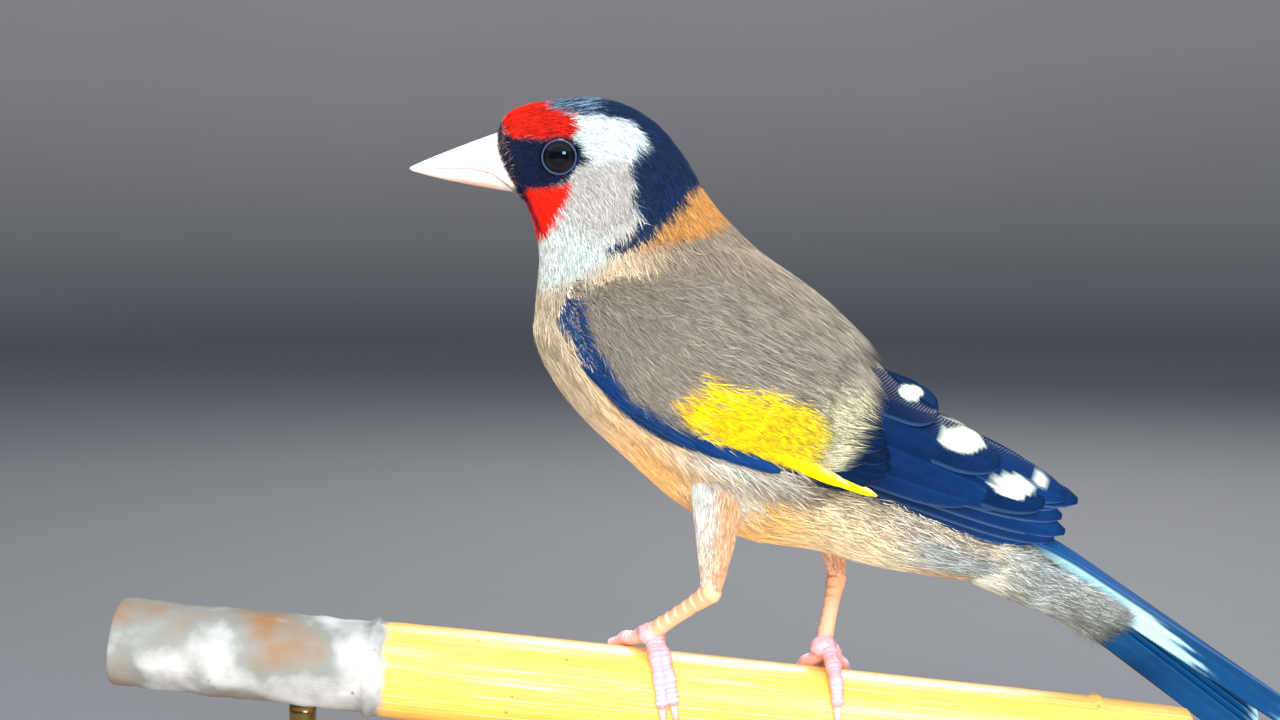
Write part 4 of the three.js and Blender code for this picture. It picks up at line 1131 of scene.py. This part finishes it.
eyeMaterial, eyeTree, eyeShader = newMaterial("wetEye", {"Roughness": 0.03, "Specular IOR Level": 0.45})
toneColour(eyeTree, eyeShader, 3000.0, 0.5)
lidMaterial = hornMaterial("lidSkin", 0.45, 0.1, (1.0, 1.0, 1.0))
halfAtEye = float(bodyHalfWidth(np.array(eye["x"]), np.array(eye["z"])))
lidParts = []
for eyeName, side in (("left", -1), ("right", 1)):
    centre = np.array([eye["x"], side * (halfAtEye - eye["seat"]), eye["z"]])
    lat = np.linspace(0.02, np.pi - 0.02, 48)[:, None]
    turn = fullTurn(64)
    ball = [np.sin(lat) * np.cos(turn), side * np.cos(lat), np.sin(lat) * np.sin(turn)]
    rings = centre + eye["radius"] * stacked(*ball)
    iris = smooth(np.abs(lat - 0.62), 0.0, 0.14)[..., None]
    irisTone = mix(paint(22, 16, 18), paint(3, 4, 8), iris)
    makePiece("eyeball_" + eyeName, [tubePart(rings, irisTone)], eyeMaterial, ["eye_" + eyeName])
    # the lid is a slightly rippled ring round the eye
    around, tube = fullTurn(80)[:, None], fullTurn(14)
    ripple = 1 + 0.05 * np.sin(around * 17) + 0.04 * np.sin(around * 31 + 1)
    major = eye["ring"] + eye["lid"] * np.cos(tube) * ripple
    rise = side * (eye["lidRise"] + 1.3 * eye["lid"] * np.sin(tube) * ripple)
    ring = centre + stacked(major * np.cos(around), rise, major * np.sin(around))
    lidParts.append(tubePart(ring, paint(44, 54, 82), loop=True))
makePiece("eyeLids", lidParts, lidMaterial)

print("stage legs")
perch = {"tilt": math.radians(6.2), "radius": 5.7, "length": 127, "left": -61.8, "leftHigh": -33.2, "crustEnd": 36}


def canePlace(s, turn, high):
    # s along the cane from its left end, turn from its top towards the bird's left, high over its surface
    r = perch["radius"] + high
    up = r * np.cos(turn)
    x = perch["left"] + s * math.cos(perch["tilt"]) + up * math.sin(perch["tilt"])
    z = perch["leftHigh"] - s * math.sin(perch["tilt"]) + up * math.cos(perch["tilt"])
    return stacked(x, -r * np.sin(turn), z)


def toeRadius(toe, t):
    pads = 1 + 0.09 * np.cos(2 * np.pi * toe["joints"] * t / toe["split"])
    flesh = mix(0.95, 0.72, t / toe["split"]) * pads
    horn = mix(0.52, 0.08, (t - toe["split"]) / (1 - toe["split"]))
    return np.where(t > toe["split"], horn, flesh)


def toePath(toe, t):
    turn = np.radians(mix(toe["turn"][0], toe["turn"][1], t))
    s = mix(toe["s"][0], toe["s"][1], t ** 0.8)
    settle = np.maximum(0, 1 - t / 0.22) ** 1.5
    return canePlace(s, turn, 0.1 + np.minimum(toeRadius(toe, t), 0.95) + 0.9 * settle)


def scuteRings(path, radii, plates, sides, depth, fore):
    # rows of plates: the radius falls off in a saw wave along the path on the side that fore points to
    f = np.linspace(0, 1, len(path))[:, None]
    rings = pathRings(path, radii, sides, 0.9)
    outward = unit(rings - path[:, None])
    facing = smooth(outward @ fore, -0.1, 0.6)
    saw = np.mod(f * plates, 1.0)
    grown = rings + outward * (radii[:, None] * depth * facing * (0.5 - saw))[..., None]
    edge = smooth(saw, 0.8, 1.0) * facing
    return grown, edge, facing


pinkTone, toeTone, scaleEdge = paint(236, 170, 132), paint(200, 148, 156), paint(238, 226, 230)
for legName, leg in legs.items():
    heel, ball = np.array(leg["heel"]), np.array(leg["ball"])
    f = np.linspace(-0.06, 1.04, 70)
    path = mix(heel, ball, f[:, None])
    radii = np.interp(f, [-0.06, 0, 0.12, 0.3, 0.6, 0.85, 1.04], [0.9, 1.25, 1.12, 0.95, 0.9, 0.98, 1.1])
    rings, edge, facing = scuteRings(path, radii, 8, 24, 0.16, np.array([-0.8, -0.1, 0.4]))
    tone = blend(blend(pinkTone, scaleEdge, edge * 0.3), toeTone, smooth(f, 0.8, 1.0)[:, None])
    parts = [tubePart(rings, tone)]
    lat = np.linspace(0.05, np.pi - 0.05, 24)[:, None]
    turn = fullTurn(28)
    knob = 1.5 * (1 + 0.05 * np.sin(5 * turn) * np.sin(lat * 6))
    wide = 1.08 * knob * np.sin(lat)
    rings = ball + stacked(wide * np.cos(turn), wide * np.sin(turn), 0.85 * knob * np.cos(lat) - 0.1)
    parts.append(tubePart(rings, toeTone))
    for toeName, toe in leg["toes"].items():
        t = np.linspace(0, toe["split"] * 1.01, 64)
        path = toePath(toe, np.minimum(t, toe["split"]))
        path[-1] += path[-1] - path[-2] + (path[-2] - path[-3]) * 0.5
        radii = toeRadius(toe, np.minimum(t, toe["split"] * 0.999))
        radii[-3:] *= [0.9, 0.75, 0.45]
        out = unit(path.mean(0) - canePlace(toe["s"][0], 0.0, -perch["radius"]))
        rings, edge, facing = scuteRings(path, radii, 7 + 3 * toe["joints"], 20, 0.32, out)
        tone = blend(blend(toeTone, scaleEdge, edge * 0.9), pinkTone, (1 - facing) * 0.5)
        parts.append(tubePart(rings, tone))
        t = np.linspace(toe["split"] - 0.04, 1, 40)
        path = toePath(toe, t)
        early = t < toe["split"] + 0.002
        path[early] = toePath({**toe, "split": 0.3}, t[early])
        radii = mix(0.56, 0.05, np.linspace(0, 1, 40) ** 1.25)
        curve = mix(paint(196, 164, 158), paint(118, 102, 102), smooth(np.linspace(0, 1, 40), 0.3, 1.0)[:, None])
        rings = pathRings(path, radii, 16, 0.8)
        place = legName + "_" + toeName
        makePiece("nail_" + place, [tubePart(rings, curve[:, None])], clawHorn, ["claw_" + place])
    makePiece("leg_" + legName, parts, legSkin, ["shank_" + legName, "foot_" + legName])

print("stage perch and stand")
caneMaterial, caneTree, caneShader = newMaterial("cane", {
    "Roughness": 0.3, "Specular IOR Level": 0.5, "Coat Weight": 0.25, "Coat Roughness": 0.2,
})
fibres = noise(caneTree, stretched(caneTree, ownUv(caneTree), (90.0, 3.0, 1.0)), 1.0, 4.0)
blotches = noise(caneTree, objectPlace(caneTree), 90.0, 6.0)
chalk = (1, 1, 1)
caneTone = rampColour(caneTree, fibres, [(0.2, paint(220, 148, 58)), (0.55, paint(236, 178, 80)), (1.0, chalk)])
crustTone = rampColour(caneTree, blotches, [(0.32, paint(124, 92, 60)), (0.5, paint(114, 116, 112)), (1.0, chalk)])
# the piece's own colour holds the share of crust, whose edge the blotches make ragged
crustShare = addNode(caneTree, "ShaderNodeSeparateColor", None, {0: ownColour(caneTree)}).outputs[0]
ragged = math2(caneTree, "MULTIPLY", math2(caneTree, "SUBTRACT", blotches, 0.5), 1.6)
crustMask = remap(caneTree, math2(caneTree, "ADD", crustShare, ragged), 0.42, 0.58)
specks = addNode(caneTree, "ShaderNodeTexVoronoi", None, {"Vector": objectPlace(caneTree), "Scale": 420.0})
speckMask = remap(caneTree, specks.outputs["Distance"], 0.12, 0.05)
speckMask = math2(caneTree, "MULTIPLY", speckMask, math2(caneTree, "GREATER_THAN", blotches, 0.56))
caneColour = mixColour(caneTree, crustMask, caneTone, crustTone)
caneColour = mixColour(caneTree, math2(caneTree, "MULTIPLY", speckMask, 0.7), caneColour, (*paint(120, 66, 24), 1))
caneTree.links.new(caneColour, caneShader.inputs["Base Color"])
caneTree.links.new(remap(caneTree, crustMask, 0.0, 1.0, 0.3, 0.85), caneShader.inputs["Roughness"])
relief = math2(caneTree, "ADD", fibres, math2(caneTree, "MULTIPLY", blotches, crustMask))
linkBump(caneTree, caneShader, relief, 0.22, 0.0003)

caneEnds = [0, 0, 0.15, 0.5], [126.6, 126.9, perch["length"], perch["length"]]
caneS = np.concatenate([caneEnds[0], np.linspace(1, 126, 260), caneEnds[1]])
caneR = np.interp(caneS, [0, 27, 29.6, 31.2, 40, 58, 90, 114.6, 117, perch["length"]],
                  [5.1, 5.28, 5.4, 5.55, 5.66, 5.7, 5.7, 5.72, 5.68, 5.55])
caneR = caneR + 0.5 * np.exp(-((caneS - 30.4) / 0.45) ** 2) + 0.42 * np.exp(-((caneS - 116) / 0.5) ** 2)
caneR[:4] = [3.2, 4.6, 5.0, 5.1]
caneR[-4:] = [5.5, 5.4, 5.1, 3.4]
turn = fullTurn(64)
crust = smooth(perch["crustEnd"] - caneS, 0, 8)[:, None]
rough = rng.normal(0, 1, (len(caneS), len(turn)))
for _ in range(5):
    rough = (rough + np.roll(rough, 1, 0) + np.roll(rough, -1, 0) + np.roll(rough, 1, 1) + np.roll(rough, -1, 1)) / 3
radius = caneR[:, None] * (1 + 0.004 * np.sin(3 * turn + 0.6)) + 0.03 * crust * rough
rings = canePlace(caneS[:, None], -turn, radius - perch["radius"])
caneUv = stacked(np.abs(turn / np.pi - 1), caneS[:, None] / 60)
makePiece("cane", [tubePart(rings, crust[..., None] * 0.9, caneUv)], caneMaterial, ["perch"])

woodMaterial, woodTree, woodShader = newMaterial("darkWood", {
    "Roughness": 0.38, "Coat Weight": 0.2, "Coat Roughness": 0.3,
})
grain = noise(woodTree, stretched(woodTree, objectPlace(woodTree), (6.0, 60.0, 60.0)), 6.0, 6.0, 0.6)
woodTone = rampColour(woodTree, grain, [(0.3, paint(48, 28, 18)), (0.72, paint(112, 70, 42))])
woodTree.links.new(woodTone, woodShader.inputs["Base Color"])
linkBump(woodTree, woodShader, grain, 0.3, 0.0002)

low, high = (np.array(corner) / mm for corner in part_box("stand_base"))
baseWide, baseHigh = (high - low)[1] / 2, (high - low)[2]
baseStraight = (high - low)[0] / 2 - baseWide
edge = 1.4  # radius of the rounded upper edge
profile = [(-edge * 3, 0.0), (-0.5, 0.0), (-0.12, 0.12), (0.0, 0.5)]
profile += [(-edge * (1 - math.cos(f)), baseHigh - edge + edge * math.sin(f)) for f in np.linspace(0, math.pi / 2, 9)]
profile += [(-edge * 3, baseHigh), (-baseWide * 0.5, baseHigh)]
offset, height = np.hsplit(np.array(profile), 2)
around = fullTurn(160)
straight = np.sign(np.cos(around)) * baseStraight * (np.abs(np.cos(around)) > 1e-9)
radius = baseWide + offset
rings = stacked(straight + radius * np.cos(around), radius * np.sin(around), height)
makePiece("standBase", [tubePart(rings - home)], woodMaterial, ["stand_base"])

brassMaterial, brassTree, brassShader = newMaterial("brushedBrass", {"Roughness": 0.28, "Metallic": 1.0})
brushed = stretched(brassTree, objectPlace(brassTree), (1.0, 1.0, 30.0))
toned = toneColour(brassTree, brassShader, 120.0, 0.3, brushed, (*paint(206, 168, 96), 1))
linkBump(brassTree, brassShader, toned["Value"], 0.2, 0.0001)
for rodName in ("stand_rod_front", "stand_rod_rear"):
    low, high = (np.array(corner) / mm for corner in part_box(rodName))
    x, y, _ = (low + high) / 2
    height = np.array([low[2], low[2], low[2] + 0.7, low[2] + 1.0, low[2] + 1.0, high[2] - 0.9, high[2]])[:, None]
    radius = np.array([1.6, 2.3, 2.3, 2.0, 1.6, 1.6, 1.55])[:, None]
    turn = fullTurn(48)
    rings = stacked(x + radius * np.cos(turn), y + radius * np.sin(turn), height)
    makePiece(rodName.replace("stand_", "brass_"), [tubePart(rings - home)], brassMaterial, [rodName])

print("stage camera and lights")
cameraData = bpy.data.cameras.new("camera")
camera = bpy.data.objects.new("camera", cameraData)
scene.collection.objects.link(camera)
scene.camera = camera
cameraAway, cameraRise = 240.0, math.radians(4)
cameraData.sensor_width = 36
cameraData.lens = 57.7
cameraData.clip_start, cameraData.clip_end = 0.01, 20
cameraData.dof.use_dof = False
camera.location = (home + np.array([0, -cameraAway * math.cos(cameraRise), cameraAway * math.sin(cameraRise)])) * mm
camera.rotation_euler = (math.pi / 2 - cameraRise, 0, 0)

floorMaterial, floorTree, floorShader = newMaterial("backdrop", {"Roughness": 0.85})
toneColour(floorTree, floorShader, 6.0, 0.1, colour=(*paint(104, 106, 110), 1))
# the floor is level out to 1.1 m, turns up on a quarter circle of 0.4 m and ends as a round wall
bend, sides = np.linspace(0, np.pi / 2, 24), 96
reach = np.concatenate([[300], 1100 + 400 * np.sin(bend), [1500]])[:, None]
height = np.concatenate([[0], 400 * (1 - np.cos(bend)), [1000]])[:, None] - 0.02
turn = fullTurn(sides)
points = stacked(reach * np.cos(turn), reach * np.sin(turn), height)
i = np.arange(len(reach) - 1)[:, None] * sides
k = np.arange(sides)
n = (k + 1) % sides
faces = np.stack([i + k, i + sides + k, i + sides + n, i + n], -1).reshape(-1, 4).tolist()
floorMesh = bpy.data.meshes.new("backdrop")
floorMesh.from_pydata((points.reshape(-1, 3) * mm).tolist(), [], faces + [k.tolist()])
floorMesh.materials.append(floorMaterial)
floorMesh.polygons.foreach_set("use_smooth", np.ones(len(floorMesh.polygons), bool))
floor = bpy.data.objects.new("backdrop", floorMesh)
scene.collection.objects.link(floor)
floor.visible_shadow = False

lights = [
    {"name": "key", "place": (-120, -420, 400), "size": (380, 380), "power": 4.2, "colour": (1.0, 0.97, 0.92)},
    {"name": "front", "place": (0, -560, 160), "size": (420, 200), "power": 3.2, "colour": (1.0, 0.97, 0.93)},
    {"name": "bounce", "place": (60, -580, -155), "size": (0, 0), "power": 4.6, "colour": (1.0, 0.95, 0.88)},
    {"name": "sky", "place": (153, -288, 170), "size": (110, 90), "power": 0.8, "colour": (0.4, 0.68, 1.0)},
    {"name": "rim", "place": (120, 380, 360), "size": (300, 300), "power": 3.0, "colour": (1.0, 0.96, 0.9)},
]
for entry in lights:
    # the bounce light stands for light thrown up by a pale ground and comes through the backdrop
    data = bpy.data.lights.new(entry["name"], "SUN" if entry["name"] == "bounce" else "AREA")
    if data.type == "SUN":
        data.angle = math.radians(40)
    else:
        data.shape = "RECTANGLE"
        data.size, data.size_y = (length * mm for length in entry["size"])
    data.energy = entry["power"]
    data.color = entry["colour"]
    lamp = bpy.data.objects.new(entry["name"], data)
    x, y, z = entry["place"]
    lamp.location = (home + np.array([x, y, z])) * mm
    lamp.rotation_euler = (math.pi / 2 - math.atan2(z, math.hypot(x, y)), 0, math.atan2(x, -y))
    lamp.visible_camera = False
    lamp.visible_glossy = entry["name"] in ("sky", "rim")
    scene.collection.objects.link(lamp)
world = bpy.data.worlds.new("room")
world.use_nodes = True
world.node_tree.nodes["Background"].inputs[0].default_value = (0.75, 0.84, 1.0, 1)
world.node_tree.nodes["Background"].inputs[1].default_value = 0.55
scene.world = world
scene.view_settings.view_transform = "Standard"
